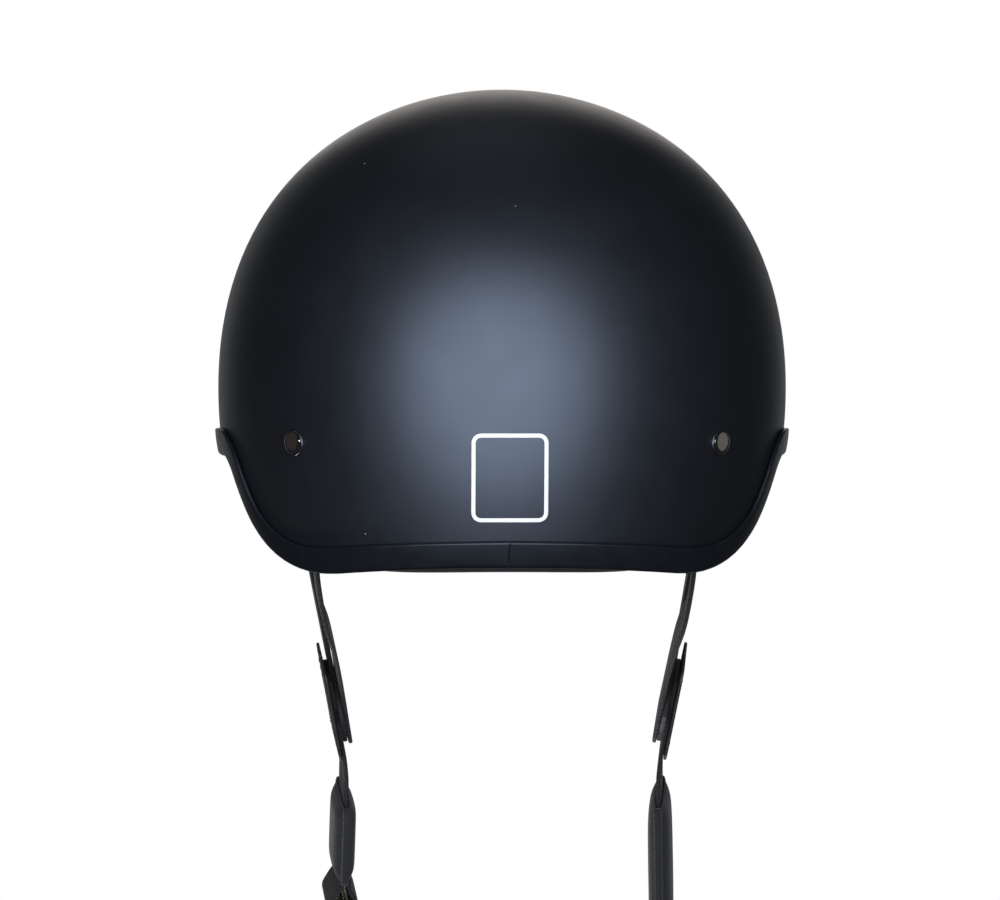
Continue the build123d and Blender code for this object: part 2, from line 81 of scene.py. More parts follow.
# %% Camera
camera_distance = 1.5
camera_turn = math.radians(1.5)
focal_length = 135.2
aim = Vector((0.8 * mm, 0, -24.9 * mm))
camera_data = bpy.data.cameras.new("camera")
camera_data.lens = focal_length
camera = bpy.data.objects.new("camera", camera_data)
bpy.context.scene.collection.objects.link(camera)
camera.location = (camera_distance * math.sin(camera_turn), camera_distance * math.cos(camera_turn), 0)
camera.rotation_mode = "QUATERNION"
camera.rotation_quaternion = (aim - camera.location).to_track_quat("-Z", "Y")
bpy.context.scene.camera = camera
bpy.context.scene.view_settings.view_transform = "Standard"
print("camera at", [round(place, 3) for place in camera.location])

# %% [markdown]
# A material or a world is a small graph of nodes. Written out one by one the graph hides what it does, so
# one function adds any node: its settings by name, and each input either as a value or as a link from
# another node. Colours are given as the hex codes that a paint chart would have, and turned to linear
# light here.

# %% Nodes and colours
def add_node(tree, kind, inputs=None, **settings):
    """Add a node with its settings; an input is a value, or another node's output to link."""
    node = tree.nodes.new(kind)
    for name, value in settings.items():
        setattr(node, name, value)
    for name, value in (inputs or {}).items():
        if isinstance(value, bpy.types.NodeSocket):
            tree.links.new(value, node.inputs[name])
        else:
            node.inputs[name].default_value = value
    return node


def linear(code):
    """Linear colour of an sRGB hex code."""
    shares = [int(code[start:start + 2], 16) / 255 for start in (1, 3, 5)]
    return [share / 12.92 if share <= 0.04045 else ((share + 0.055) / 1.055) ** 2.4 for share in shares] + [1]


# %% [markdown]
# The helmet was photographed with a flash beside the lens, in front of a white sweep in a darker room.
# The backdrop could be a real sheet, but a world is simpler and never gets in the way of another view.
# Camera rays see white everywhere. Reflections see white on the sweep's side and a grey room on the
# flash's side, and that is what draws the thin pale line along the edge of the black shell. Everything
# else gets an even soft light.

# %% World
room_grey = linear("#363433")
ambient_grey = linear("#8d9096")
ambient_strength, reflected_strength = 0.8, 0.45
sweep_starts, sweep_ends = -0.7, -0.98
world = bpy.data.worlds.new("studio")
bpy.context.scene.world = world
world.use_nodes = True
tree = world.node_tree
tree.nodes.clear()
direction = add_node(tree, "ShaderNodeTexCoord")
axes = add_node(tree, "ShaderNodeSeparateXYZ", {"Vector": direction.outputs["Generated"]})
sweep = add_node(tree, "ShaderNodeMapRange", {
    "Value": axes.outputs["Y"], "From Min": sweep_starts, "From Max": sweep_ends,
}, interpolation_type="SMOOTHSTEP")
surroundings = add_node(tree, "ShaderNodeMix", {
    "Factor": sweep.outputs["Result"], "A": room_grey, "B": (1, 1, 1, 1),
}, data_type="RGBA")
rays = add_node(tree, "ShaderNodeLightPath")
mirrored = add_node(tree, "ShaderNodeMath", {
    0: rays.outputs["Is Glossy Ray"], 1: rays.outputs["Is Transmission Ray"],
}, operation="MAXIMUM")
soft_light = add_node(tree, "ShaderNodeBackground", {"Color": ambient_grey, "Strength": ambient_strength})
reflected = add_node(tree, "ShaderNodeBackground", {
    "Color": surroundings.outputs["Result"], "Strength": reflected_strength,
})
white = add_node(tree, "ShaderNodeBackground", {"Color": (1, 1, 1, 1), "Strength": 1.0})
lit = add_node(tree, "ShaderNodeMixShader", {
    0: mirrored.outputs["Value"], 1: soft_light.outputs[0], 2: reflected.outputs[0],
})
seen = add_node(tree, "ShaderNodeMixShader", {
    0: rays.outputs["Is Camera Ray"], 1: lit.outputs[0], 2: white.outputs[0],
})
add_node(tree, "ShaderNodeOutputWorld", {"Surface": seen.outputs[0]})
print("world nodes:", len(tree.nodes))

# %% [markdown]
# A matt black dome shows little but its highlights, so the lamps shape it. The flash is a wide oval soft
# box just beside the camera, and its blurred reflection is the bright patch on the back. Dim boxes
# overhead and in front of the helmet keep the other sides readable, and one below lights the black
# lining. A lamp's numbers are its place, its width and height, its power in watts and its colour.

# %% Lamps
def soft_box(name, place, width, height, power, colour):
    """Oval area lamp that points at the helmet and that no camera sees."""
    lamp = bpy.data.lights.new(name, "AREA")
    lamp.shape = "ELLIPSE"
    lamp.size, lamp.size_y = width, height
    lamp.energy = power
    lamp.color = linear(colour)[:3]
    holder = bpy.data.objects.new(name, lamp)
    bpy.context.scene.collection.objects.link(holder)
    holder.location = place
    holder.rotation_mode = "QUATERNION"
    holder.rotation_quaternion = (-Vector(place)).to_track_quat("-Z", "Y")
    holder.visible_camera = False
    return holder


fill_size = 1.2
soft_box("flash", (0.11, 1.9, 0.1), 2.9, 2.1, 67, "#f2f6ff")
soft_box("overhead", (0.1, -0.5, 1.8), fill_size, fill_size, 0.6, "#ffffff")
soft_box("front_fill", (-0.04, -1.9, 0.75), fill_size, fill_size, 5.5, "#fff4ea")
soft_box("under_fill", (0.3, -0.7, -1.7), fill_size, fill_size, 36, "#ffffff")
print("lamps:", len(bpy.data.lights))

# %% [markdown]
# The helmet hangs in the air as if on a stand, so the floor only takes its shadow. A floor that ends at a
# horizon would cross the picture, so the pale floor turns to plain white with distance. From below it is
# see-through, and it neither blocks light nor bounces it, so that the lining can be lit and looked at.

# %% Floor
floor_half = 4.0
shadow_reach, white_reach, floor_glow = 0.3, 0.85, 0.7
floor_mesh = bpy.data.meshes.new("floor")
floor_corners = [(x * floor_half, y * floor_half, cad_low.z) for x, y in ((-1, -1), (1, -1), (1, 1), (-1, 1))]
floor_mesh.from_pydata(floor_corners, [], [(0, 1, 2, 3)])
floor = bpy.data.objects.new("floor", floor_mesh)
bpy.context.scene.collection.objects.link(floor)
floor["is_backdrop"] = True
floor.visible_diffuse = floor.visible_glossy = floor.visible_shadow = False
pale_floor = bpy.data.materials.new("pale_studio_floor")
pale_floor.use_nodes = True
tree = pale_floor.node_tree
tree.nodes.clear()
coordinates = add_node(tree, "ShaderNodeTexCoord")
level = add_node(tree, "ShaderNodeVectorMath", {
    0: coordinates.outputs["Object"], 1: (1, 1, 0),
}, operation="MULTIPLY")
reach = add_node(tree, "ShaderNodeVectorMath", {0: level.outputs["Vector"]}, operation="LENGTH")
far = add_node(tree, "ShaderNodeMapRange", {
    "Value": reach.outputs["Value"], "From Min": shadow_reach, "From Max": white_reach, "To Min": floor_glow,
}, interpolation_type="SMOOTHSTEP")
rays = add_node(tree, "ShaderNodeLightPath")
paint = add_node(tree, "ShaderNodeBsdfDiffuse", {"Color": linear("#f2f2f0")})
glow = add_node(tree, "ShaderNodeEmission", {"Color": (1, 1, 1, 1), "Strength": 1.0})
white_far = add_node(tree, "ShaderNodeMath", {
    0: far.outputs["Result"], 1: rays.outputs["Is Camera Ray"],
}, operation="MULTIPLY")
surface = add_node(tree, "ShaderNodeMixShader", {
    0: white_far.outputs[0], 1: paint.outputs[0], 2: glow.outputs[0],
})
clear = add_node(tree, "ShaderNodeBsdfTransparent")
side = add_node(tree, "ShaderNodeNewGeometry")
shown = add_node(tree, "ShaderNodeMixShader", {
    0: side.outputs["Backfacing"], 1: surface.outputs[0], 2: clear.outputs[0],
})
add_node(tree, "ShaderNodeOutputMaterial", {"Surface": shown.outputs[0]})
floor_mesh.materials.append(pale_floor)
print("floor at", round(cad_low.z / mm, 1), "mm")

# %% [markdown]
# Most pieces of a helmet are skins through a row of sections: the shell from the crown to its rim, a
# strap along its route, a ring along its wire. One loft function makes them all. Each section is a ring
# of points, and a skin that ends in a single point closes there with triangles. The signed volume of the
# closed result says whether its faces look out, and turns them all if they don't.

# %% Skins through sections
def loft(rings, looped=False):
    """Points and outward faces of a closed skin through rings; a ring of one point is a pole."""
    points = []
    starts = []
    for ring in rings:
        starts.append(len(points))
        points += ring
    faces = []
    last = len(rings) if looped else len(rings) - 1
    for i in range(last):
        low, high = i, (i + 1) % len(rings)
        count = max(len(rings[low]), len(rings[high]))
        for j in range(count):
            k = (j + 1) % count
            a, b, c, d = starts[low] + j, starts[low] + k, starts[high] + k, starts[high] + j
            if len(rings[low]) == 1:
                faces.append((starts[low], c, d))
            elif len(rings[high]) == 1:
                faces.append((a, b, starts[high]))
            else:
                faces.append((a, b, c, d))
    if not looped:
        for end in (0, len(rings) - 1):
            if len(rings[end]) > 1:
                cap = tuple(range(starts[end], starts[end] + len(rings[end])))
                faces.append(cap[::-1] if end == 0 else cap)
    return points, outward(points, faces)


def outward(points, faces):
    """The faces of a closed shape, all turned to look out."""
    volume = 0.0
    for face in faces:
        corner = points[face[0]]
        for second, third in zip(face[1:], face[2:]):
            volume += corner.dot(points[second].cross(points[third]))
    return [face[::-1] for face in faces] if volume < 0 else faces


def make_piece(name, points, faces, material, texture_places=None):
    """Smooth mesh object; texture_places holds each point's place on its UV map, in metres."""
    mesh = bpy.data.meshes.new(name)
    mesh.from_pydata(points, [], faces)
    mesh.materials.append(material)
    mesh.shade_smooth()
    if texture_places:
        layer = mesh.uv_layers.new(name="surface")
        for loop in mesh.loops:
            layer.data[loop.index].uv = texture_places[loop.vertex_index]
    piece = bpy.data.objects.new(name, mesh)
    bpy.context.scene.collection.objects.link(piece)
    return piece


# %% [markdown]
# Moulded and bent things have no sharp corners: the rim line, the bead's section, a label and a D-ring
# are all straight runs joined by arcs. They could be splines, but an arc of a stated radius is what a
# drawing would give, so corners and radii are listed and a function rounds them. A second one spreads
# points evenly along.

# %% Rounded lines
arc_step = math.radians(9)
least_turn = math.radians(1)


def rounded(corners, radii, closed=False):
    """Points of a flat line whose corners are rounded; an open line keeps its two ends."""
    corners = [Vector(corner) for corner in corners]
    points = [] if closed else [corners[0]]
    for i, radius in enumerate(radii, 0 if closed else 1):
        before, corner, after = corners[i - 1], corners[i], corners[(i + 1) % len(corners)]
        into = (corner - before).normalized()
        away = (after - corner).normalized()
        turn = into.angle(away)
        if turn < least_turn:
            points.append(corner)
            continue
        start = corner - into * radius * math.tan(turn / 2)
        end = corner + away * radius * math.tan(turn / 2)
        centre = corner + (away - into).normalized() * (radius / math.cos(turn / 2))
        steps = math.ceil(turn / arc_step)
        for k in range(steps + 1):
            angle = turn * k / steps
            spoke = (start - centre) * math.sin(turn - angle) + (end - centre) * math.sin(angle)
            points.append(centre + spoke / math.sin(turn))
    return points if closed else points + [corners[-1]]


def spread(points, count, closed=False):
    """Evenly spaced points along a line, and the line's length."""
    line = list(points) + [points[0]] if closed else list(points)
    reached = [0.0]
    for before, after in zip(line, line[1:]):
        reached.append(reached[-1] + (after - before).length)
    steps = count if closed else count - 1
    found = []
    i = 0
    for k in range(count):
        goal = reached[-1] * k / steps
        while i < len(line) - 2 and reached[i + 1] < goal:
            i += 1
        gap = reached[i + 1] - reached[i]
        found.append(line[i].lerp(line[i + 1], (goal - reached[i]) / gap if gap else 0.0))
    return found, reached[-1]


# %% [markdown]
# Shell, foam and pads are nested domes of one family: a smooth arch from the widest level up to the
# crown, and a skirt that tucks in slightly below it. A dome is longer in front than behind. Its main
# sizes are read from the CAD shell, and an inset makes every other layer, so all of them stay parallel
# whatever the helmet's size.

# %% Domes
shell_low, shell_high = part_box("outer_shell")
half_width = shell_high.x
rear_reach = shell_high.y
front_reach = -shell_low.y
crown_height = shell_high.z
skirt_depth = 80 * mm
skirt_tuck_share = 0.156
flank_share = 0.72
crown_share = 0.45
halvings = 32


def arch(t):
    """Width and height shares along the arch, from the widest level at 0 to the crown at 1."""
    low = (1 - t) ** 3
    flank = 3 * (1 - t) ** 2 * t
    crown = 3 * (1 - t) * t ** 2
    return low + flank + crown * crown_share, flank * flank_share + crown + t ** 3


def arch_place(part, goal, rising):
    """Place t on the arch where its width share (part 0) or height share (part 1) has a value."""
    low, high = 0.0, 1.0
    for _ in range(halvings):
        middle = (low + high) / 2
        if (arch(middle)[part] < goal) == rising:
            low = middle
        else:
            high = middle
    return (low + high) / 2


class Dome:
    """A dome inside the shell's outer face by one inset all round, and by more at ends and crown."""

    def __init__(self, side, more_at_ends=0.0, more_at_crown=0.0):
        self.radius = half_width - side
        self.rear = rear_reach - side - more_at_ends
        self.front = front_reach - side - more_at_ends
        self.top = crown_height - side - more_at_crown

    def reach(self, y):
        """Half length of the dome towards the back or the front."""
        return self.rear if y > 0 else self.front

    def share(self, height):
        """Width at a height, as a share of the greatest width."""
        if height <= 0:
            return 1 - skirt_tuck_share * (height / skirt_depth) ** 2
        return arch(arch_place(1, height / self.top, True))[0]

    def at(self, angle, height, share=None):
        """Point at a height; the angle turns from the wearer's left at 0 to the back at 90 degrees."""
        share = self.share(height) if share is None else share
        across, along = math.cos(angle), math.sin(angle)
        return Vector((self.radius * share * across, self.reach(along) * share * along, height))

    def over(self, x, y):
        """Point of the arch above a place in plan."""
        share = math.hypot(x / self.radius, y / self.reach(y))
        return Vector((x, y, self.top * arch(arch_place(0, share, False))[1]))

    def angle(self, point):
        """The angle that a point near the dome lies at."""
        return math.atan2(point.y / self.reach(point.y), point.x / self.radius)

    def normal(self, point):
        """Direction out of the dome at a point on it."""
        step = 0.5 * mm
        slope = (self.share(point.z + step) - self.share(point.z - step)) / (2 * step)
        across, along = point.x / self.radius ** 2, point.y / self.reach(point.y) ** 2
        return Vector((across, along, -self.share(point.z) * slope)).normalized()


outer_face = Dome(0)
print("shell", [round(side / mm, 1) for side in (half_width * 2, rear_reach + front_reach, crown_height)])

# %% [markdown]
# The rim looks complicated, but seen from the side it is four straight lines with three rounded corners:
# a low brow, a level cut over the ear, a steep drop behind it and a nearly level nape. Anything that
# follows the rim can so be placed with one function, which finds the height of that line on a dome in any
# direction.

# %% The rim line
brow_drop = 3 * mm
ear_drop = 25 * mm
ear_front = -0.40 * front_reach
ear_back = 33 * mm
corner_back = 52 * mm
corner_drop = 72 * mm
nape_drop = 64 * mm
rim_radii = (150 * mm, 14 * mm, 35 * mm)
rim_rounds = 16
rim_side_view = rounded([
    (-front_reach, -brow_drop), (ear_front, -ear_drop), (ear_back, -ear_drop), (corner_back, -corner_drop),
    (rear_reach, -nape_drop),
], rim_radii)


def rim_height(y):
    """Height of the rim line at a place along the helmet."""
    i = 1
    while i < len(rim_side_view) - 1 and rim_side_view[i].x < y:
        i += 1
    before, after = rim_side_view[i - 1], rim_side_view[i]
    return before.y + (after.y - before.y) * (y - before.x) / (after.x - before.x)


def rim_point(dome, angle, rise=0.0):
    """Point of a dome in some direction on the rim line, or a little above it."""
    height = rise - ear_drop
    for _ in range(rim_rounds):
        height = rim_height(dome.at(angle, height).y) + rise
    return dome.at(angle, height)


def angles_along_rim(count):
    """Angles of evenly spaced rim points on the wearer's left, from the back to the front."""
    fine_steps = 1400
    fine = [math.pi * (0.5 - i / fine_steps) for i in range(fine_steps + 1)]
    places = [rim_point(outer_face, angle) for angle in fine]
    even, length = spread(places, count)
    return [outer_face.angle(point) for point in even], length


rim_half_count = 141
left_angles, rim_half_length = angles_along_rim(rim_half_count)
left_angles[0], left_angles[-1] = math.pi / 2, -math.pi / 2
round_angles = left_angles + [math.pi - angle for angle in reversed(left_angles[1:-1])]
print("rim length in mm:", round(2 * rim_half_length / mm))

# %% [markdown]
# The shell is injection moulded ABS under a matt black lacquer. The lacquer scatters light widely, so the
# flash makes one broad cool patch and not a sharp spot. Its tooth is far finer than a pixel, so the bump
# below is drawn at half a millimetre, as coarse as it must be to show. A few dust specks sit on it, as in
# the picture.

# %% Lacquer
mostly_low, mostly_high = 0.35, 0.65
speckless_share = 0.72


def surface_material(name, colour, roughness, more=None):
    """A material with one principled shader, and the tree and the shader to add detail to."""
    material = bpy.data.materials.new(name)
    material.use_nodes = True
    graph = material.node_tree
    graph.nodes.clear()
    values = {"Base Color": linear(colour), "Roughness": roughness, **(more or {})}
    shader = add_node(graph, "ShaderNodeBsdfPrincipled", values)
    add_node(graph, "ShaderNodeOutputMaterial", {"Surface": shader.outputs[0]})
    return material, graph, shader


def noise(graph, size, detail=2.0):
    """Noise on object coordinates whose blotches have a real size."""
    coordinates = add_node(graph, "ShaderNodeTexCoord").outputs["Object"]
    blotches = add_node(graph, "ShaderNodeTexNoise", {
        "Vector": coordinates, "Scale": 1 / size, "Detail": detail,
    })
    return blotches.outputs[0]


def varied(graph, shader, socket, source, low, high):
    """Let noise, which mostly lies near its middle, move one of the shader's values between two limits."""
    spread_out = add_node(graph, "ShaderNodeMapRange", {
        "Value": source, "From Min": mostly_low, "From Max": mostly_high, "To Min": low, "To Max": high,
    })
    graph.links.new(spread_out.outputs[0], shader.inputs[socket])


def tinted(graph, shader, source, first, second):
    """Let a source from 0 to 1 move the colour between two hex codes."""
    colour = add_node(graph, "ShaderNodeMix", {
        "Factor": source, "A": linear(first), "B": linear(second),
    }, data_type="RGBA")
    graph.links.new(colour.outputs["Result"], shader.inputs["Base Color"])


def bumped(graph, shader, source, depth, strength=1.0):
    """Give the surface a relief of a real depth, over any relief that it already has."""
    bump = add_node(graph, "ShaderNodeBump", {"Height": source, "Distance": depth, "Strength": strength})
    if shader.inputs["Normal"].links:
        graph.links.new(shader.inputs["Normal"].links[0].from_socket, bump.inputs["Normal"])
    graph.links.new(bump.outputs[0], shader.inputs["Normal"])


def dust(graph, shader, cell, radius, colour):
    """Mix a few pale specks over the base colour, one somewhere in some of the cells."""
    coordinates = add_node(graph, "ShaderNodeTexCoord")
    specks = add_node(graph, "ShaderNodeTexVoronoi", {
        "Vector": coordinates.outputs["Object"], "Scale": 1 / cell,
    })
    near = add_node(graph, "ShaderNodeMath", {
        0: specks.outputs["Distance"], 1: radius / cell,
    }, operation="LESS_THAN")
    draw = add_node(graph, "ShaderNodeSeparateColor", {"Color": specks.outputs["Color"]})
    picked = add_node(graph, "ShaderNodeMath", {
        0: draw.outputs["Red"], 1: speckless_share,
    }, operation="GREATER_THAN")
    mask = add_node(graph, "ShaderNodeMath", {0: near.outputs[0], 1: picked.outputs[0]}, operation="MULTIPLY")
    below = shader.inputs["Base Color"].links[0].from_socket
    over = add_node(graph, "ShaderNodeMix", {
        "Factor": mask.outputs[0], "A": below, "B": linear(colour),
    }, data_type="RGBA")
    graph.links.new(over.outputs["Result"], shader.inputs["Base Color"])


cool_gleam = linear("#d5e7ff")
lacquer, graph, shader = surface_material("matt_black_lacquer_on_abs", "#0d0d0f", 0.43, {
    "Specular IOR Level": 1.0, "Specular Tint": cool_gleam,
})
tinted(graph, shader, noise(graph, 30 * mm), "#0b0b0d", "#0f0f12")
varied(graph, shader, "Roughness", noise(graph, 14 * mm, 4.0), 0.42, 0.45)
bumped(graph, shader, noise(graph, 0.5 * mm, 1.0), 0.02 * mm, 0.5)
dust(graph, shader, 11 * mm, 0.3 * mm, "#8d949c")
print("materials:", len(bpy.data.materials))

# %% [markdown]
# The shell itself is one skin from the crown down to the rim, over the edge and up inside. A plain grid
# of level rows would be cut raggedly by the rim line. Here the rows are level only down to a line above
# the ears, and below it they spread to follow the rim, so the edge is a clean row of faces. Columns are
# spaced evenly along the rim, which puts many of them where it drops behind the ear.

# %% Outer shell
shell_wall = 3.5 * mm
arch_rows, skirt_rows, edge_rows = 34, 22, 3
spread_height = 24 * mm


def shell_skin(dome):
    """Rings of one face of the shell, from the crown to the rim."""
    first = arch_place(1, spread_height / dome.top, True)
    rings = [[Vector((0, 0, dome.top))]]
    for i in range(1, arch_rows + 1):
        share, rise = arch(1 + (first - 1) * i / arch_rows)
        rings.append([dome.at(angle, rise * dome.top, share) for angle in round_angles])
    drops = [(angle, rim_point(dome, angle).z - spread_height) for angle in round_angles]
    for i in range(1, skirt_rows + 1):
        rings.append([dome.at(angle, spread_height + drop * i / skirt_rows) for angle, drop in drops])
    return rings


outside = shell_skin(outer_face)
inside = shell_skin(Dome(shell_wall))
edge = []
for i in range(1, edge_rows + 1):
    edge.append([a.lerp(b, i / (edge_rows + 1)) for a, b in zip(outside[-1], inside[-1])])
shell = make_piece("shell_moulding", *loft(outside + edge + inside[::-1]), lacquer)
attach(shell, "helmet")
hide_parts("outer_shell")
print("shell faces:", len(shell.data.polygons))

# %% [markdown]
# The bead is extruded rubber: satin, a little bluer than the lacquer and a little shinier, so it draws
# its own soft line along its shoulder. Its skin is slightly uneven from the die, and dust clings to it.

# %% Rubber
rubber, graph, shader = surface_material("extruded_black_rubber", "#0d1013", 0.39, {
    "Specular IOR Level": 0.5, "Specular Tint": linear("#d4def2"),
})
tinted(graph, shader, noise(graph, 9 * mm, 3.0), "#0b0e11", "#101317")
varied(graph, shader, "Roughness", noise(graph, 5 * mm, 3.0), 0.35, 0.43)
bumped(graph, shader, noise(graph, 0.9 * mm, 3.0), 0.05 * mm, 0.4)
dust(graph, shader, 9 * mm, 0.28 * mm, "#a5adb5")
print("rubber nodes:", len(graph.nodes))

# %% [markdown]
# The edge trim is a channel of one section all the way round, and it follows the rim: a rule that
# Geometry Nodes carry out. The tree takes the rim as a string of points, turns the section to the shell's
# own direction out at each of them and sweeps it along. The section, its material and the line are the
# tree's inputs, and the result is made a plain mesh, because the export keeps no modifier of this kind.

# %% A tree that sweeps a section
def new_tree(name, inputs):
    """An empty Geometry Nodes tree with a geometry input and output and more named inputs."""
    tree = bpy.data.node_groups.new(name, "GeometryNodeTree")
    tree.interface.new_socket("Geometry", in_out="INPUT", socket_type="NodeSocketGeometry")
    tree.interface.new_socket("Geometry", in_out="OUTPUT", socket_type="NodeSocketGeometry")
    for label, kind in inputs.items():
        tree.interface.new_socket(label, in_out="INPUT", socket_type=kind)
    return tree, add_node(tree, "NodeGroupInput")


def end_tree(tree, geometry, entry):
    """Close a tree: real geometry, smooth, in the material that its input names."""
    real = add_node(tree, "GeometryNodeRealizeInstances", {"Geometry": geometry})
    smooth = add_node(tree, "GeometryNodeSetShadeSmooth", {"Geometry": real.outputs[0]})
    finished = add_node(tree, "GeometryNodeSetMaterial", {
        "Geometry": smooth.outputs[0], "Material": entry.outputs["Material"],
    })
    add_node(tree, "NodeGroupOutput", {"Geometry": finished.outputs[0]})


def grown(piece, tree, values):
    """Run a tree on an object with these inputs and keep the result as its plain mesh."""
    modifier = piece.modifiers.new("grown", "NODES")
    modifier.node_group = tree
    for item in tree.interface.items_tree:
        if item.in_out == "INPUT" and item.name in values:
            modifier[item.identifier] = values[item.name]
    bpy.context.view_layer.update()
    result = piece.evaluated_get(bpy.context.evaluated_depsgraph_get())
    mesh = bpy.data.meshes.new_from_object(result)
    piece.modifiers.clear()
    piece.data = mesh
    return piece


def line_object(name, lines, directions=None, closed=False):
    """Object of bare edges along each line; directions fill the attribute out."""
    points = []
    edges = []
    for line in lines:
        start = len(points)
        points += [point.to_3d() for point in line]
        edges += [(i, i + 1) for i in range(start, len(points) - 1)]
        if closed:
            edges.append((len(points) - 1, start))
    mesh = bpy.data.meshes.new(name)
    mesh.from_pydata(points, edges, [])
    if directions:
        attribute = mesh.attributes.new("out", "FLOAT_VECTOR", "POINT")
        attribute.data.foreach_set("vector", [value for line in directions for out in line for value in out])
    holder = bpy.data.objects.new(name, mesh)
    bpy.context.scene.collection.objects.link(holder)
    return holder


sweep_tree, entry = new_tree("sweep_along_line", {
    "Section": "NodeSocketObject", "Material": "NodeSocketMaterial",
})
path = add_node(sweep_tree, "GeometryNodeMeshToCurve", {"Mesh": entry.outputs["Geometry"]})
out = add_node(sweep_tree, "GeometryNodeInputNamedAttribute", {"Name": "out"}, data_type="FLOAT_VECTOR")
turned_path = add_node(sweep_tree, "GeometryNodeSetCurveNormal", {"Curve": path.outputs[0]}, mode="FREE")
sweep_tree.links.new(out.outputs["Attribute"], turned_path.inputs["Normal"])
section_object = add_node(sweep_tree, "GeometryNodeObjectInfo", {"Object": entry.outputs["Section"]})
section_curve = add_node(sweep_tree, "GeometryNodeMeshToCurve", {"Mesh": section_object.outputs["Geometry"]})
swept = add_node(sweep_tree, "GeometryNodeCurveToMesh", {
    "Curve": turned_path.outputs[0], "Profile Curve": section_curve.outputs[0], "Fill Caps": True,
})
end_tree(sweep_tree, swept.outputs[0], entry)
print("sweep nodes:", len(sweep_tree.nodes))

# %% [markdown]
# The bead's two ends meet on the centre of the back. They were cut by hand, so the joint is not quite
# straight, and the ends stand off the shell a little and catch the light beside it. That is done last, by
# moving the points near the joint, because no rule covers it.

# %% Edge trim
trim_leg, trim_web, trim_gap, trim_height, trim_joint = 1.6 * mm, 1.8 * mm, 0.2 * mm, 11.2 * mm, 0.4 * mm
tip_radius, nose_radius, corner_radius = 0.75 * mm, 2.6 * mm, 0.3 * mm
bulge, face_radius = 0.25 * mm, 30 * mm
leg_face = trim_gap + trim_leg
back_face = -shell_wall - leg_face
trim_low = -trim_gap - trim_web
trim_top = trim_height + trim_low
trim_section = rounded([
    (leg_face, trim_top), (leg_face + bulge, trim_top / 2), (leg_face, trim_low), (back_face, trim_low),
    (back_face, trim_top), (-shell_wall - trim_gap, trim_top), (-shell_wall - trim_gap, -trim_gap),
    (trim_gap, -trim_gap), (trim_gap, trim_top),
], (tip_radius, face_radius, nose_radius, nose_radius, tip_radius, tip_radius, corner_radius, corner_radius,
    tip_radius), closed=True)
joint_shift = Vector((trim_joint / 2, 0, 0))
rim_path = [rim_point(outer_face, angle) for angle in round_angles]
rim_out = [outer_face.normal(point) for point in rim_path]
trim_path = [rim_path[0] + joint_shift, *rim_path[1:], rim_path[0] - joint_shift]
trim = line_object("rim_bead", [trim_path], [rim_out + rim_out[:1]])
section = line_object("trim_section", [trim_section], closed=True)
grown(trim, sweep_tree, {"Section": section, "Material": rubber})
bpy.data.objects.remove(section)

flare, flare_reach = 0.55 * mm, 7 * mm
kink, kink_reach, kink_wave = 0.28 * mm, 3 * mm, 2.5 * mm
joint_zone = 6 * flare_reach
joint_foot = rim_path[0].z + trim_low
for vertex in trim.data.vertices:
    place = vertex.co
    if place.y > 0 and abs(place.x) < joint_zone:
        rise = place.z - joint_foot
        place.y += flare * math.exp(-abs(place.x) / flare_reach) * (rise / trim_height) ** 2
        place.x += kink * math.exp(-abs(place.x) / kink_reach) * math.sin(rise / kink_wave)
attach(trim, "helmet")
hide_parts("edge_trim")
print("trim faces:", len(trim.data.polygons), "height in mm:", round(trim_height / mm, 1))

# %% [markdown]
# Everything soft or metal on the helmet gets its material here, before the pieces. Webbing shows its
# weave: two waves across and along the strap make the little cushions of its yarns, on a UV map in real
# metres, so the yarns keep their size on every strap. Fabric, leather and foam take their relief from
# cells and noise, which need no map. The foam, the washers and the plates keep their CAD shapes and only
# get their finish.

# %% Soft and metal materials
def weave(graph, across, along):
    """Relief of a plain weave on the surface map, with yarns of these widths."""
    surface_map = add_node(graph, "ShaderNodeUVMap", uv_map="surface")
    axes = add_node(graph, "ShaderNodeSeparateXYZ", {"Vector": surface_map.outputs[0]})
    waves = []
    for axis, period in (("X", across), ("Y", along)):
        turn = add_node(graph, "ShaderNodeMath", {
            0: axes.outputs[axis], 1: math.pi / period,
        }, operation="MULTIPLY")
        wave = add_node(graph, "ShaderNodeMath", {0: turn.outputs[0]}, operation="SINE")
        waves.append(wave.outputs[0])
    crossing = add_node(graph, "ShaderNodeMath", {0: waves[0], 1: waves[1]}, operation="MULTIPLY")
    raised = add_node(graph, "ShaderNodeMapRange", {
        "Value": crossing.outputs[0], "From Min": -1.0, "From Max": 1.0,
    })
    return raised.outputs[0]


def cells(graph, size, feature="F1"):
    """Distance to the middles or to the borders of cells of a real size, from 0 to about 1."""
    coordinates = add_node(graph, "ShaderNodeTexCoord")
    found = add_node(graph, "ShaderNodeTexVoronoi", {
        "Vector": coordinates.outputs["Object"], "Scale": 1 / size,
    }, feature=feature)
    return found.outputs["Distance"]


# Nylon webbing, woven: dull, with the fine cushions of its yarns.
webbing, graph, shader = surface_material("black_nylon_webbing", "#121214", 0.78, {
    "Specular IOR Level": 0.4, "Sheen Weight": 0.05, "Sheen Roughness": 0.5,
})
yarn_relief_and_painted_shade = weave(graph, 1.25 * mm, 1.0 * mm)
# The weave relief also sets the colour: painted shade, darker in the hollows between the yarns and lighter on
# their crowns.
tinted(graph, shader, yarn_relief_and_painted_shade, "#0c0c0d", "#1a1a1d")
varied(graph, shader, "Roughness", noise(graph, 7 * mm, 3.0), 0.7, 0.85)
bumped(graph, shader, yarn_relief_and_painted_shade, 0.22 * mm)
bumped(graph, shader, noise(graph, 0.35 * mm, 2.0), 0.05 * mm)

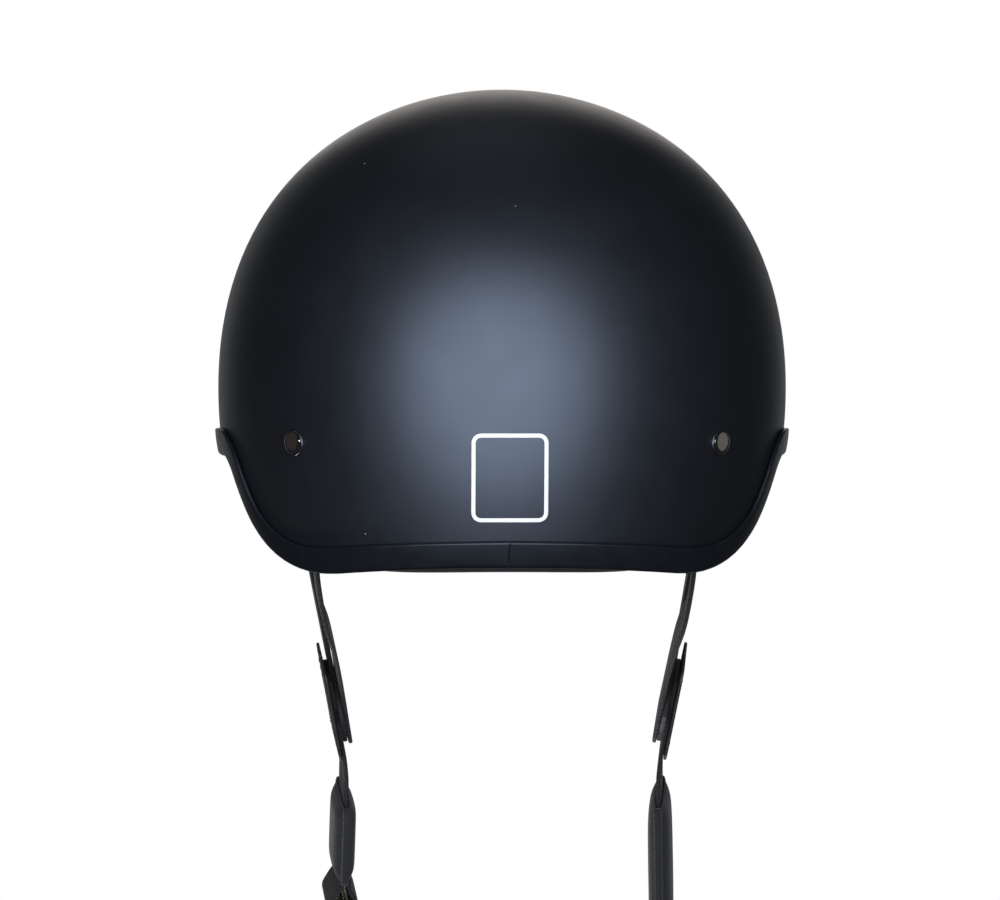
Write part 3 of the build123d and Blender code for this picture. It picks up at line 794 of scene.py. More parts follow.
# Nylon cloth, brushed: a soft nap that pales at a flat angle.
lining, graph, shader = surface_material("brushed_nylon_lining", "#1c1c1f", 0.92, {
    "Specular IOR Level": 0.3, "Sheen Weight": 0.12, "Sheen Roughness": 0.4,
})
tinted(graph, shader, noise(graph, 12 * mm, 5.0), "#17171a", "#242428")
bumped(graph, shader, cells(graph, 0.9 * mm), 0.14 * mm)
bumped(graph, shader, noise(graph, 3 * mm, 4.0), 0.25 * mm, 0.6)

# Leather, embossed: small raised cells, worn to a gleam in places.
leather, graph, shader = surface_material("grained_black_leather", "#161617", 0.55)
tinted(graph, shader, noise(graph, 6 * mm, 3.0), "#121213", "#1c1b1c")
varied(graph, shader, "Roughness", noise(graph, 4 * mm, 3.0), 0.42, 0.66)
bumped(graph, shader, cells(graph, 1.1 * mm, "DISTANCE_TO_EDGE"), 0.16 * mm)

# Polyester thread, bonded: a waxy twist, paler than what it sews.
thread, graph, shader = surface_material("bonded_polyester_thread", "#2b2c2f", 0.6)
tinted(graph, shader, noise(graph, 2 * mm), "#222326", "#35363a")
bumped(graph, shader, noise(graph, 0.3 * mm, 2.0), 0.04 * mm)

# Polystyrene foam, blown in a mould: beads of 3 mm pressed flat against each other.
foam, graph, shader = surface_material("black_beaded_foam", "#1b1b1c", 0.85, {"Specular IOR Level": 0.35})
bead_relief_and_painted_shade = cells(graph, 3.2 * mm, "DISTANCE_TO_EDGE")
# The bead cells also set the colour: painted shade, darker along the grooves between the beads.
tinted(graph, shader, bead_relief_and_painted_shade, "#111112", "#262627")
bumped(graph, shader, bead_relief_and_painted_shade, 0.5 * mm)
bumped(graph, shader, noise(graph, 0.6 * mm, 2.0), 0.05 * mm)

# Chrome, plated and polished: a mirror with a few hazy spots.
chrome, graph, shader = surface_material("polished_chrome", "#cfd2d6", 0.07, {"Metallic": 1.0})
tinted(graph, shader, noise(graph, 3 * mm, 3.0), "#c4c7cc", "#d8dade")
varied(graph, shader, "Roughness", noise(graph, 1.6 * mm, 4.0), 0.05, 0.16)
bumped(graph, shader, noise(graph, 2.2 * mm, 2.0), 0.015 * mm)

# Steel wire, plated with nickel: a warm shine, dulled by handling.
nickel, graph, shader = surface_material("nickel_plated_steel", "#b7b5ad", 0.2, {"Metallic": 1.0})
tinted(graph, shader, noise(graph, 5 * mm, 3.0), "#aaa8a1", "#c2c0b8")
varied(graph, shader, "Roughness", noise(graph, 1.2 * mm, 5.0), 0.14, 0.32)
bumped(graph, shader, noise(graph, 0.5 * mm, 3.0), 0.012 * mm)

# Steel sheet, plated with zinc: bluish grey, with the patches of its crystals.
zinc, graph, shader = surface_material("zinc_plated_steel", "#9ba0a6", 0.38, {"Metallic": 1.0})
tinted(graph, shader, cells(graph, 2.5 * mm), "#8f949b", "#a9adb1")
varied(graph, shader, "Roughness", noise(graph, 2 * mm, 4.0), 0.3, 0.48)

# Steel sheet, stamped and blackened with oxide: dark and satin.
dark_metal, graph, shader = surface_material("black_oxide_metal", "#303135", 0.36, {"Metallic": 1.0})
tinted(graph, shader, noise(graph, 2.5 * mm, 4.0), "#28292c", "#3b3c40")
varied(graph, shader, "Roughness", noise(graph, 1.2 * mm, 4.0), 0.28, 0.46)
bumped(graph, shader, noise(graph, 0.4 * mm, 2.0), 0.01 * mm)

cad_finishes = {name: zinc for name in nodes if name == "rivet_washers" or name.startswith("anchor_plate")}
cad_finishes["eps_liner"] = foam
for name, finish in cad_finishes.items():
    for holder in nodes[name].material_slots:
        holder.material = finish
print("materials:", len(bpy.data.materials))

# %% [markdown]
# The pads are soft bags of foam sewn into fabric. Each starts as a closed skin over a patch of the foam
# liner: its back lies on the liner and its face is raised between a thin sewn border and a few sewn
# lines. Cloth simulation then blows it up a little with the border, the lines and the back held fast. No
# point may move far, so a pad still clears the head. A right pad is its left one mirrored.

# %% Sewn pads
foam_side, foam_end, foam_crown = 20 * mm, 26 * mm, 28 * mm
seat_gap = 0.3 * mm
pad_start, pad_border, pad_swell = 5.2 * mm, 1.4 * mm, 1.5 * mm
sewn_share, beside_share = 0.42, 0.85
soft_corner_power, face_power = 5, 6
pad_pressure, cloth_quality, cloth_mass, cloth_frames = 4.0, 6, 0.15, 20


def lining_layer(depth):
    """Dome at a depth into the helmet from the foam's inner face."""
    return Dome(shell_wall + seat_gap + depth + foam_side, foam_end - foam_side, foam_crown - foam_side)


def soft_square(u, v, power):
    """Move a place in the unit square into a square with round corners, or a disc at power 2."""
    x = u * math.sqrt(1 - v * v / 2)
    y = v * math.sqrt(1 - u * u / 2)
    reach = math.hypot(x, y)
    if reach == 0:
        return 0.0, 0.0
    stretch = (abs(x / reach) ** power + abs(y / reach) ** power) ** (-1 / power)
    return x * stretch, y * stretch


def swollen(piece, held, pressure, cap):
    """Blow the piece up by cloth simulation, some points held fast and none moved past the cap."""
    group = piece.vertex_groups.new(name="held")
    group.add(held, 1.0, "REPLACE")
    cloth = piece.modifiers.new("cloth", "CLOTH")
    cloth.settings.quality = cloth_quality
    cloth.settings.mass = cloth_mass
    cloth.settings.use_pressure = True
    cloth.settings.uniform_pressure_force = pressure
    cloth.settings.effector_weights.gravity = 0
    cloth.settings.vertex_group_mass = group.name
    for number in range(1, cloth_frames + 1):
        bpy.context.scene.frame_set(number)
    result = piece.evaluated_get(bpy.context.evaluated_depsgraph_get()).data
    moves = [after.co - before.co for after, before in zip(result.vertices, piece.data.vertices)]
    piece.modifiers.remove(cloth)
    piece.vertex_groups.remove(group)
    bpy.context.scene.frame_set(1)
    for vertex, move in zip(piece.data.vertices, moves):
        if move.length > 0:
            vertex.co += move * min(1.0, cap / move.length)


def sewn_pad(name, place, columns, rows, sewn_columns=(), sewn_rows=(), power=soft_corner_power):
    """Padded piece; place turns a depth and two values from -1 to 1 into a point."""
    points = []
    held = []
    for face in (False, True):
        for j in range(rows + 1):
            for i in range(columns + 1):
                u, v = 2 * i / columns - 1, 2 * j / rows - 1
                depth = seat_gap
                if face:
                    rise = math.sqrt(1 - max(abs(u), abs(v)) ** face_power)
                    sewn = i in sewn_columns or j in sewn_rows
                    beside = {i - 1, i + 1} & set(sewn_columns) or {j - 1, j + 1} & set(sewn_rows)
                    share = sewn_share if sewn else beside_share if beside else 1.0
                    depth += pad_border + (pad_start - pad_border) * rise * share
                edge = i in (0, columns) or j in (0, rows)
                if not face or edge or sewn:
                    held.append(len(points))
                points.append(place(depth, *soft_square(u, v, power)))
    step = columns + 1
    layer = step * (rows + 1)
    faces = []
    for j in range(rows):
        for i in range(columns):
            a = j * step + i
            faces.append((a, a + step, a + step + 1, a + 1))
            faces.append((layer + a, layer + a + 1, layer + a + step + 1, layer + a + step))
    border = [*range(columns), *range(columns, layer - 1, step), *range(layer - 1, rows * step, -1)]
    border += range(rows * step, 0, -step)
    for a, b in zip(border, border[1:] + border[:1]):
        faces.append((a, b, layer + b, layer + a))
    piece = make_piece(name, points, outward(points, faces), lining)
    swollen(piece, held, pad_pressure, pad_swell)
    return piece


def fabric_finish(piece, body, replaced):
    """One subdivision, the piece put on its body, and the CAD part that it replaces hidden."""
    smooth = piece.modifiers.new("rounded", "SUBSURF")
    smooth.levels = 1
    smooth.render_levels = 1
    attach(piece, body)
    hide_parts(replaced)


def mirrored_piece(piece, name):
    """Copy of a piece on the other side of the helmet, its faces turned to look out again."""
    mesh = piece.data.copy()
    mesh.name = name
    mesh.transform(Matrix.Scale(-1, 4, (1, 0, 0)))
    mesh.flip_normals()
    copy = bpy.data.objects.new(name, mesh)
    bpy.context.scene.collection.objects.link(copy)
    return copy


# %% [markdown]
# The five pads differ only in the patch that they cover, so each has a small function that turns a depth
# and two values from -1 to 1 into a point of it. The crown pad is an oval, placed by its plan. The brow
# and temple pads stand on a line just above the rim, and the nape pad hangs a little below it, where its
# lower edge shows as the black band under the trim at the back.

# %% Comfort pads
pad_margin = 6.4 * mm
crown_back = (rear_reach - front_reach) / 2
crown_half_width, crown_half_length = 0.435 * half_width, 0.395 * front_reach
brow_half_span = math.radians(60)
brow_top = 31 * mm
temple_front, temple_back, temple_top = -51.5 * mm, 21 * mm, 39.5 * mm
nape_half_width = 0.59 * half_width
nape_low_centre, nape_low_side = -70.2 * mm, -72.6 * mm
nape_top_centre, nape_top_side = -13.6 * mm, -26 * mm


def crown_place(depth, u, v):
    return lining_layer(depth).over(u * crown_half_width, crown_back + v * crown_half_length)


def brow_place(depth, u, v):
    layer = lining_layer(depth)
    angle = -math.pi / 2 + u * brow_half_span
    low = rim_point(layer, angle, pad_margin).z
    return layer.at(angle, low + (brow_top - low) * (v + 1) / 2)


def temple_place(depth, u, v):
    layer = lining_layer(depth)
    y = temple_front + (temple_back - temple_front) * (u + 1) / 2
    low = rim_height(y) + pad_margin
    height = low + (temple_top - low) * (v + 1) / 2
    return layer.at(math.asin(y / layer.reach(y) / layer.share(height)), height)


def nape_place(depth, u, v):
    layer = lining_layer(depth)
    low = nape_low_centre + (nape_low_side - nape_low_centre) * u * u
    top = nape_top_centre + (nape_top_side - nape_top_centre) * u * u
    height = low + (top - low) * (v + 1) / 2
    return layer.at(math.acos(u * nape_half_width / layer.radius / layer.share(height)), height)


crown_pad = sewn_pad("crown_cushion", crown_place, columns=28, rows=34, sewn_columns=(14,), sewn_rows=(17,),
                     power=2)
brow_pad = sewn_pad("brow_cushion", brow_place, columns=72, rows=14, sewn_columns=(12, 24, 36, 48, 60))
temple_pad = sewn_pad("temple_cushion_left", temple_place, columns=28, rows=24, sewn_rows=(12,))
nape_pad = sewn_pad("nape_cushion", nape_place, columns=48, rows=20, sewn_columns=(16, 32))
temple_copy = mirrored_piece(temple_pad, "temple_cushion_right")
fabric_finish(crown_pad, "helmet", "crown_pad")
fabric_finish(brow_pad, "helmet", "brow_pad")
fabric_finish(nape_pad, "helmet", "nape_pad")
fabric_finish(temple_pad, "helmet", "temple_pad_left")
fabric_finish(temple_copy, "helmet", "temple_pad_right")

# %% [markdown]
# A rivet is a turned part: its profile is drawn once and spun. Four of them look alike and only lie
# differently, so Geometry Nodes put one unit rivet, 1 wide and 1 high, on four seats. Each seat is a
# point that carries the shell's direction out, and the head's width and height are inputs of the tree.
# Its profile is a dome down to a short upright edge, broken at its foot, and a base that sinks into the
# shell.

# %% Rivets
def spun(profile, steps=40):
    """Points and faces of a turned shape from (radius, height) pairs; a radius of 0 closes it."""
    angles = [2 * math.pi * i / steps for i in range(steps)]
    rings = []
    for radius, height in profile:
        around = angles if radius else [0.0]
        places = [(radius * math.cos(angle), radius * math.sin(angle)) for angle in around]
        rings.append([Vector((x, y, height)) for x, y in places])
    return loft(rings)


def sided(point, side):
    """A point on the wearer's left at side 1, or its mirror image on the right at side -1."""
    return Vector((point.x * side, point.y, point.z))


rivet_width, rivet_height = 9.8 * mm, 2.7 * mm
rear_seat_share, rear_seat_height = 0.687, -20.8 * mm
front_seat_share, front_seat_height = -0.436, 13 * mm
dome_foot = 0.16
unit_profile = [(0, 1.0)]
for degrees in range(10, 90, 10):
    turn = math.radians(degrees)
    unit_profile.append((0.5 * math.sin(turn), dome_foot + (1 - dome_foot) * math.cos(turn)))
unit_profile += [(0.5, 0.2), (0.5, 0.06), (0.485, 0.0), (0, -0.1)]
unit_rivet = make_piece("unit_rivet", *spun(unit_profile), chrome)


def seat(along_share, height):
    """Point on the left side of the shell's outer face, and the direction out of it."""
    y = along_share * outer_face.reach(along_share)
    x = half_width * math.sqrt(outer_face.share(height) ** 2 - along_share ** 2)
    point = Vector((x, y, height))
    return point, outer_face.normal(point)


seat_tree, entry = new_tree("pieces_on_seats", {
    "Piece": "NodeSocketObject", "Width": "NodeSocketFloat", "Height": "NodeSocketFloat",
    "Material": "NodeSocketMaterial",
})
out = add_node(seat_tree, "GeometryNodeInputNamedAttribute", {"Name": "out"}, data_type="FLOAT_VECTOR")
facing = add_node(seat_tree, "FunctionNodeAlignRotationToVector", {
    "Vector": out.outputs["Attribute"],
}, axis="Z")
size = add_node(seat_tree, "ShaderNodeCombineXYZ", {
    "X": entry.outputs["Width"], "Y": entry.outputs["Width"], "Z": entry.outputs["Height"],
})
original = add_node(seat_tree, "GeometryNodeObjectInfo", {"Object": entry.outputs["Piece"]})
placed = add_node(seat_tree, "GeometryNodeInstanceOnPoints", {
    "Points": entry.outputs["Geometry"], "Instance": original.outputs["Geometry"],
    "Rotation": facing.outputs[0], "Scale": size.outputs[0],
})
end_tree(seat_tree, placed.outputs[0], entry)

seats = []
for place in ((rear_seat_share, rear_seat_height), (front_seat_share, front_seat_height)):
    point, out = seat(*place)
    seats += [(sided(point, side), sided(out, side)) for side in (1, -1)]
rivets = line_object("domed_rivets", [[point] for point, out in seats], [[out] for point, out in seats])
grown(rivets, seat_tree, {
    "Piece": unit_rivet, "Width": rivet_width, "Height": rivet_height, "Material": chrome,
})
bpy.data.objects.remove(unit_rivet)
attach(rivets, "helmet")
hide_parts(*[f"rivet_{end}_{side}" for end in ("rear", "front") for side in ("left", "right")])
print("rivet faces:", len(rivets.data.polygons))

# %% [markdown]
# The webbing of each harness is stitched from flat straps. A strap is a row of stations, and each says
# where its middle is and which way its width lies. A smooth curve runs through the stations and carries a
# flat section with thin rolled edges. The same stations as in the CAD model keep the straps in the foam's
# recesses and on the harness's hinge.

# %% Harness directions
strap_width, strap_thickness, layer_step = 25 * mm, 1.8 * mm, 1.85 * mm
rear_exit_shares, rear_hinge_shares = (0.652, 0.428, 0.917), (0.628, 0.374, 1.194)
front_exit_shares, front_hinge_shares = (0.784, -0.304, 0.375), (0.734, -0.226, 0.639)
meet_shares = (0.580, 0.069, 1.722)
chin_tilt = math.radians(18)


def beside_head(shares):
    """Place from shares of half width, reach and corner drop."""
    across, along, drop = shares
    return Vector((across * half_width, along * outer_face.reach(along), -drop * corner_drop))


def towards(goal, vector):
    """The vector, or its opposite if that points more to the side of the goal."""
    return -vector if vector.dot(goal) < 0 else vector


rear_hinge, front_hinge = beside_head(rear_hinge_shares), beside_head(front_hinge_shares)
meet = beside_head(meet_shares)
hinge_axis = (rear_hinge - front_hinge).normalized()
harness_out = towards(Vector((1, 0, 0)), (front_hinge - meet).cross(rear_hinge - meet).normalized())
plumb = (Vector((0, 0, -1)) + harness_out * harness_out.z).normalized()
forward = towards(Vector((0, -1, 0)), harness_out.cross(plumb))
chin_down = plumb * math.cos(chin_tilt) + forward * math.sin(chin_tilt)
chin_across = harness_out.cross(chin_down)
bend_angle = math.atan(harness_out.z / chin_down.z)
for label, direction in (("harness faces", harness_out), ("chin strap runs", chin_down)):
    print(label, [round(part, 3) for part in direction])

# %% [markdown]
# All straps come from one function. It also writes the surface map that the weave is drawn on: across the
# strap one way and along it the other, both in metres. The flat section is drawn in shares of half the
# strap's width and thickness, thinner at its two woven edges.

# %% Straps
selvage = [(-1, 0), (-0.985, 0.55), (-0.95, 0.86), (-0.9, 0.94), (-0.86, 0.98), (-0.5, 1.0), (0, 1.0)]
flat_section = selvage + [(-x, y) for x, y in reversed(selvage[:-1])]
flat_section += [(x, -y) for x, y in reversed(flat_section[1:-1])]


def curve_through(values, steps):
    """Points of a smooth curve through vectors, this many steps between two of them."""
    extended = [values[0] * 2 - values[1], *values, values[-1] * 2 - values[-2]]
    found = []
    for i in range(len(values) - 1):
        a, b, c, d = extended[i:i + 4]
        for k in range(steps):
            t = k / steps
            found.append(0.5 * (2 * b + (c - a) * t + (2 * a - 5 * b + 4 * c - d) * t ** 2
                                + (3 * b - a - 3 * c + d) * t ** 3))
    return found + [values[-1]]


def strap(name, stations, steps, side):
    """Flat strap through (middle, across) stations; side -1 puts it on the wearer's right."""
    middles, acrosses = (curve_through(values, steps) for values in zip(*stations))
    rings = []
    places = []
    reached = 0.0
    for i, (middle, across) in enumerate(zip(middles, acrosses)):
        run = (middles[min(i + 1, len(middles) - 1)] - middles[max(i - 1, 0)]).normalized()
        across = (across - run * across.dot(run)).normalized()
        facing = across.cross(run)
        if i:
            reached += (middle - middles[i - 1]).length
        ring = []
        for x, y in flat_section:
            point = middle + across * (x * strap_width / 2) + facing * (y * strap_thickness / 2)
            ring.append(sided(point, side))
            places.append((x * strap_width / 2, reached))
        rings.append(ring)
    return make_piece(name, *loft(rings), webbing, places)


class Anchor:
    """A riveted strap end: its rivet's place, and the stations of its webbing down to the hinge."""

    def __init__(self, along_share, height, exit_shares, hinge):
        self.point, self.out = seat(along_share, height)
        self.exit = beside_head(exit_shares)
        self.hinge = hinge
        reach = self.exit - self.point
        self.down = (reach - self.out * reach.dot(self.out)).normalized()
        self.across = self.out.cross(self.down)

    def stations(self):
        inner = self.point - self.out * strap_depth
        top = inner - self.down * strap_above
        low = inner + self.down * strap_below
        last = (self.hinge - self.exit).normalized()
        side = towards(self.across, hinge_axis.cross(last).cross(last).normalized())
        halfway = ((low + self.exit) / 2, (self.across + side).normalized())
        return [(top, self.across), (low, self.across), halfway, (self.exit, side), (self.hinge, side)]


washer_gap, washer_thickness, webbing_gap = 0.1 * mm, 1.2 * mm, 0.05 * mm
strap_depth = shell_wall + washer_gap + washer_thickness + webbing_gap + strap_thickness / 2
strap_above, strap_below = 12 * mm, 9 * mm
leg_knee_share, strap_lap, bend_room = 0.42, 13 * mm, 6 * mm
leg_steps, chin_steps = 12, 6
harness_anchors = {
    "rear": (Anchor(rear_seat_share, rear_seat_height, rear_exit_shares, rear_hinge), -1),
    "front": (Anchor(front_seat_share, front_seat_height, front_exit_shares, front_hinge), 0),
}
for end, (anchor, layer) in harness_anchors.items():
    run = (meet - anchor.hinge).normalized()
    stations = anchor.stations()
    last_side = stations[-1][1]
    leg_side = towards(last_side, harness_out.cross(run))
    stations[-1] = (anchor.hinge, (last_side + leg_side).normalized())
    lift = harness_out * (layer * layer_step)
    stations.append((anchor.hinge + (meet - anchor.hinge) * leg_knee_share + lift, leg_side))
    stations.append((meet + run * strap_lap + lift, leg_side))
    bend_way = towards(run, hinge_axis.cross(harness_out).normalized()) * bend_room
    for side, word in ((1, "left"), (-1, "right")):
        piece = strap(f"{end}_strap_{word}", stations, leg_steps, side)
        start, finish = sided(anchor.hinge - bend_way, side), sided(anchor.hinge + bend_way, side)
        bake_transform(piece)
        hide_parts(f"strap_end_{end}_{word}", f"{end}_leg_{word}")
print("harness straps:", 2 * len(harness_anchors))

# %% [markdown]
# Below the place where the legs meet, each chin strap runs straight, bends inwards a little and hangs
# straight down. A point of it is given by its distance out of the webbing and down it, in the strap's own
# plane. The fold round the D-rings and the hem at the free end are lists of pairs in millimetres: out of
# the webbing, and up from the place where the strap ends.

# %% Chin straps
strap_plain, strap_bend_radius = 18 * mm, 90 * mm
short_drop, long_drop = 46 * mm, 172 * mm
ring_bar_middle = -3.35 * mm
bend_end_out = strap_bend_radius * (1 - math.cos(bend_angle))
bend_end_down = strap_plain + strap_bend_radius * math.sin(bend_angle)


def on_strap(out, down):
    """Point of the strap's plane at distances out of the webbing and down from the meeting point."""
    return meet + harness_out * (layer_step + out) + chin_down * down


def strap_frame(drop):
    """Matrix of the place on the straight stretch: X along the width, Y out of the webbing and Z up it."""
    out = bend_end_out + math.sin(bend_angle) * drop
    down = bend_end_down + math.cos(bend_angle) * drop
    up = -(harness_out * math.sin(bend_angle) + chin_down * math.cos(bend_angle))
    facing = chin_across.cross(up)
    frame_matrix = Matrix((-chin_across, facing, up)).transposed().to_4x4()
    frame_matrix.translation = on_strap(out, down)
    return frame_matrix


def upper_stations():
    """Stations from the lap over the legs round the bend."""
    points = [on_strap(0, down) for down in (-strap_lap, 0, strap_plain)]
    for i in range(1, 4):
        turn = bend_angle * i / 4
        points.append(on_strap(
            strap_bend_radius * (1 - math.cos(turn)), strap_plain + strap_bend_radius * math.sin(turn)
        ))
    return points


short_end, long_end = strap_frame(short_drop), strap_frame(long_drop)
short_drops, long_drops = (5, 16), (5, 40, 80, 120)
ring_fold = [(0, 14), (0.2, 7), (3.4, 1.2), (5.575, -3.35), (4.6, -5.8), (2.225, -6.7), (-2.225, -6.7),
             (-4.6, -5.8), (-5.575, -3.35), (-4.6, 0), (-2.2, 5), (-1.9, 14)]
hem_fold = [(0, 24), (0, 3), (-0.25, 0.55), (-0.925, 0.15), (-1.6, 0.55), (-1.85, 3), (-1.85, 24)]
for name, drops, end, fold, side, word in (
    ("short_chin_webbing", short_drops, short_end, ring_fold, 1, "left"),
    ("long_chin_webbing", long_drops, long_end, hem_fold, -1, "right"),
):
    points = upper_stations() + [strap_frame(drop * mm).translation for drop in drops]
    points += [end @ Vector((0, out * mm, up * mm)) for out, up in fold]
    piece = strap(name, [(point, -chin_across) for point in points], chin_steps, side)
    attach(piece, f"{word}_harness")
    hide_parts(f"chin_strap_{word}")
print("chin straps reach down to", round(long_end.translation.z / mm), "mm")

# %% [markdown]
# The jaw sleeves are padded tubes that slide on the chin straps. A sleeve is sewn along both edges
# outside the webbing, which leaves two thin flanges and a soft middle. It is lofted as one loop of
# sections, up the outside and back through the slot, and the middle is blown up a little like the pads.

# %% Jaw sleeves
sleeve_width, sleeve_height, sleeve_inset = 36 * mm, 9.4 * mm, 4 * mm
slot_width, slot_height = 25.6 * mm, 2.4 * mm
flange_share, flange_height, edge_share = 0.78, 2.9 * mm, 0.96
sleeve_columns, sleeve_row_step, slot_rows = 40, 3 * mm, 6
mouth_inset = 0.6 * mm
sleeve_pressure, sleeve_swell = 3.0, 1.0 * mm


def oval(columns, power_x, power_y):
    """Places round an oval from -1 to 1; powers under 1 square its corners off."""
    places = []
    for i in range(columns):
        angle = 2 * math.pi * i / columns
        x, y = math.cos(angle), math.sin(angle)
        places.append((math.copysign(abs(x) ** power_x, x), math.copysign(abs(y) ** power_y, y)))
    return places


def sleeve_section(fullness):
    """Outer section of a sleeve, from thin at 0 to full at 1: a soft middle between two sewn flanges."""
    ring = []
    for x, y in oval(sleeve_columns, 0.55, 1):
        inner = min(1.0, abs(x) / flange_share)
        full = flange_height + (sleeve_height - flange_height) * fullness * math.sqrt(1 - inner ** 4)
        past_edge = max(0.0, abs(x) - edge_share) / (1 - edge_share)
        rise = full / 2 * math.sqrt(max(0.0, 1 - past_edge ** 2))
        ring.append(Vector((x * sleeve_width / 2, math.copysign(rise, y), 0)))
    return ring


def slot_section():
    """Section of the slot that the webbing runs through."""
    return [Vector((x * slot_width / 2, y * slot_height / 2, 0)) for x, y in oval(sleeve_columns, 0.3, 0.3)]


def jaw_sleeve(name, length, side):
    """Padded sleeve on the straight stretch of a chin strap."""
    rows = round(length / sleeve_row_step)
    middle = strap_frame(sleeve_inset + length / 2)
    rings = []
    held = []
    for i in range(rows + 1):
        v = 2 * i / rows - 1
        ring = sleeve_section(math.sqrt(1 - v ** 8))
        for j, point in enumerate(ring):
            if i in (0, rows) or abs(point.x) > flange_share * sleeve_width / 2:
                held.append(i * sleeve_columns + j)
        rings.append([point + Vector((0, 0, v * length / 2)) for point in ring])
    held += range(len(rings) * sleeve_columns, (len(rings) + slot_rows + 1) * sleeve_columns)
    for i in range(slot_rows + 1):
        lift = Vector((0, 0, (1 - 2 * i / slot_rows) * (length / 2 - mouth_inset)))
        rings.append([point + lift for point in slot_section()])
    placed_rings = [[sided(middle @ point, side) for point in ring] for ring in rings]
    piece = make_piece(name, *loft(placed_rings, looped=True), lining)
    swollen(piece, held, sleeve_pressure, sleeve_swell)
    return piece


short_sleeve, long_sleeve = 34 * mm, 72 * mm
left_sleeve = jaw_sleeve("jaw_cushion_left", short_sleeve, 1)
right_sleeve = jaw_sleeve("jaw_cushion_right", long_sleeve, -1)
fabric_finish(left_sleeve, "left_harness", "jaw_pad_left")
fabric_finish(right_sleeve, "right_harness", "jaw_pad_right")
print("sleeves:", len(left_sleeve.data.polygons), "and", len(right_sleeve.data.polygons), "faces")

# %% [markdown]
# The D-rings are bent from round wire. Their line is a drawing: a straight bar, two tight corners and a
# bow. The same sweep tree as for the trim runs a round section along it, and each ring rides on its own
# body.

# %% D-rings
ring_wire, ring_opening, ring_corner = 4 * mm, 27.5 * mm, 4 * mm
ring_spacing = 2.225 * mm
corner_steps, bow_steps, wire_steps = 8, 32, 20
half_bar = ring_opening / 2 + ring_wire / 2
bar_end = half_bar - ring_corner
bar = [Vector((share * bar_end, 0, 0)) for share in (-1, -0.5, 0, 0.5, 1)]
corner = []
for i in range(1, corner_steps + 1):
    turn = math.radians(90 * i / corner_steps)
    corner.append(Vector((bar_end + ring_corner * math.sin(turn), 0, ring_corner * (math.cos(turn) - 1))))
bow = []
for i in range(1, bow_steps):
    turn = math.radians(180 * i / bow_steps)
    bow.append(Vector((half_bar * math.cos(turn), 0, -ring_corner - half_bar * math.sin(turn))))
ring_line = bar + corner + bow + [sided(point, -1) for point in reversed(corner)]
wire_turns = [2 * math.pi * i / wire_steps for i in range(wire_steps)]
wire_section = [Vector((math.cos(turn), math.sin(turn))) * ring_wire / 2 for turn in wire_turns]
section = line_object("wire_section", [wire_section], closed=True)
facing = short_end.to_3x3() @ Vector((0, 1, 0))
for word, way in (("outer", 1), ("inner", -1)):
    middle = Vector((0, way * ring_spacing, ring_bar_middle))
    line = [short_end @ (point + middle) for point in ring_line]
    ring = line_object(f"{word}_wire_ring", [line], [[facing] * len(line)], closed=True)
    grown(ring, sweep_tree, {"Section": section, "Material": nickel})
    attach(ring, f"{word}_ring")
    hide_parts(f"d_ring_{word}")
bpy.data.objects.remove(section)
print("ring faces:", len(ring.data.polygons))

# %% [markdown]
# A leather patch covers the place where the straps meet. It is a flat plate with a rounded outline whose
# face sinks a little along the seam: pairs of an inset and a height, in millimetres, from its foot to its
# middle. The sewing itself comes later.

# %% Junction patches
patch_width, patch_height, patch_corner = 36 * mm, 40 * mm, 5 * mm
seam_inset = 3 * mm
patch_lift = layer_step + strap_thickness / 2 + webbing_gap
patch_steps = ((0.3, 0), (0, 0.25), (0, 0.85), (0.35, 1.15), (1.2, 1.2), (2.4, 1.1), (3.0, 0.98), (3.6, 1.1),
               (5, 1.2), (9, 1.2), (14, 1.2))
least_corner = 1.2 * mm


def rounded_box(width, height, corner_radius, inset, least_radius=0.0):
    """Outline of a rectangle with rounded corners, set in from its size by a distance."""
    x, y = width / 2 - inset, height / 2 - inset
    radius = max(corner_radius - inset, least_radius)
    return rounded([(x, -y), (x, y), (-x, y), (-x, -y)], (radius,) * 4, closed=True)


def on_patch(point, lift):
    """Place on the patch: across the straps, down them and out of the webbing."""
    return meet + chin_across * point.x + chin_down * point.y + harness_out * (patch_lift + lift)


for word, side in (("left", 1), ("right", -1)):
    rings = []
    for inset, lift in patch_steps:
        outline = rounded_box(patch_width, patch_height, patch_corner, inset * mm, least_corner)
        rings.append([sided(on_patch(point, lift * mm), side) for point in outline])
    patch = make_piece(f"leather_patch_{word}", *loft(rings), leather)
    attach(patch, f"{word}_harness")
    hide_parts(f"junction_patch_{word}")
print("patch faces:", len(patch.data.polygons))

# %% [markdown]
# The press stud has four turned parts. Each is spun from its profile like the rivets, laid on the long
# chin strap with its axis out of the webbing, and mirrored to the wearer's right, where that strap hangs.
# A profile is a list of pairs in millimetres, a radius and a distance beyond the face of the webbing that
# it sits on.

# %% Press stud
snap_inset, snap_spacing = 13 * mm, 62 * mm
face = strap_thickness / 2 + webbing_gap
hem_back = face + strap_thickness


def beyond(level, way, pairs):
    """Profile points from pairs of millimetres: a radius, and a distance beyond a level."""
    return [(radius * mm, way * (level + distance * mm)) for radius, distance in pairs]


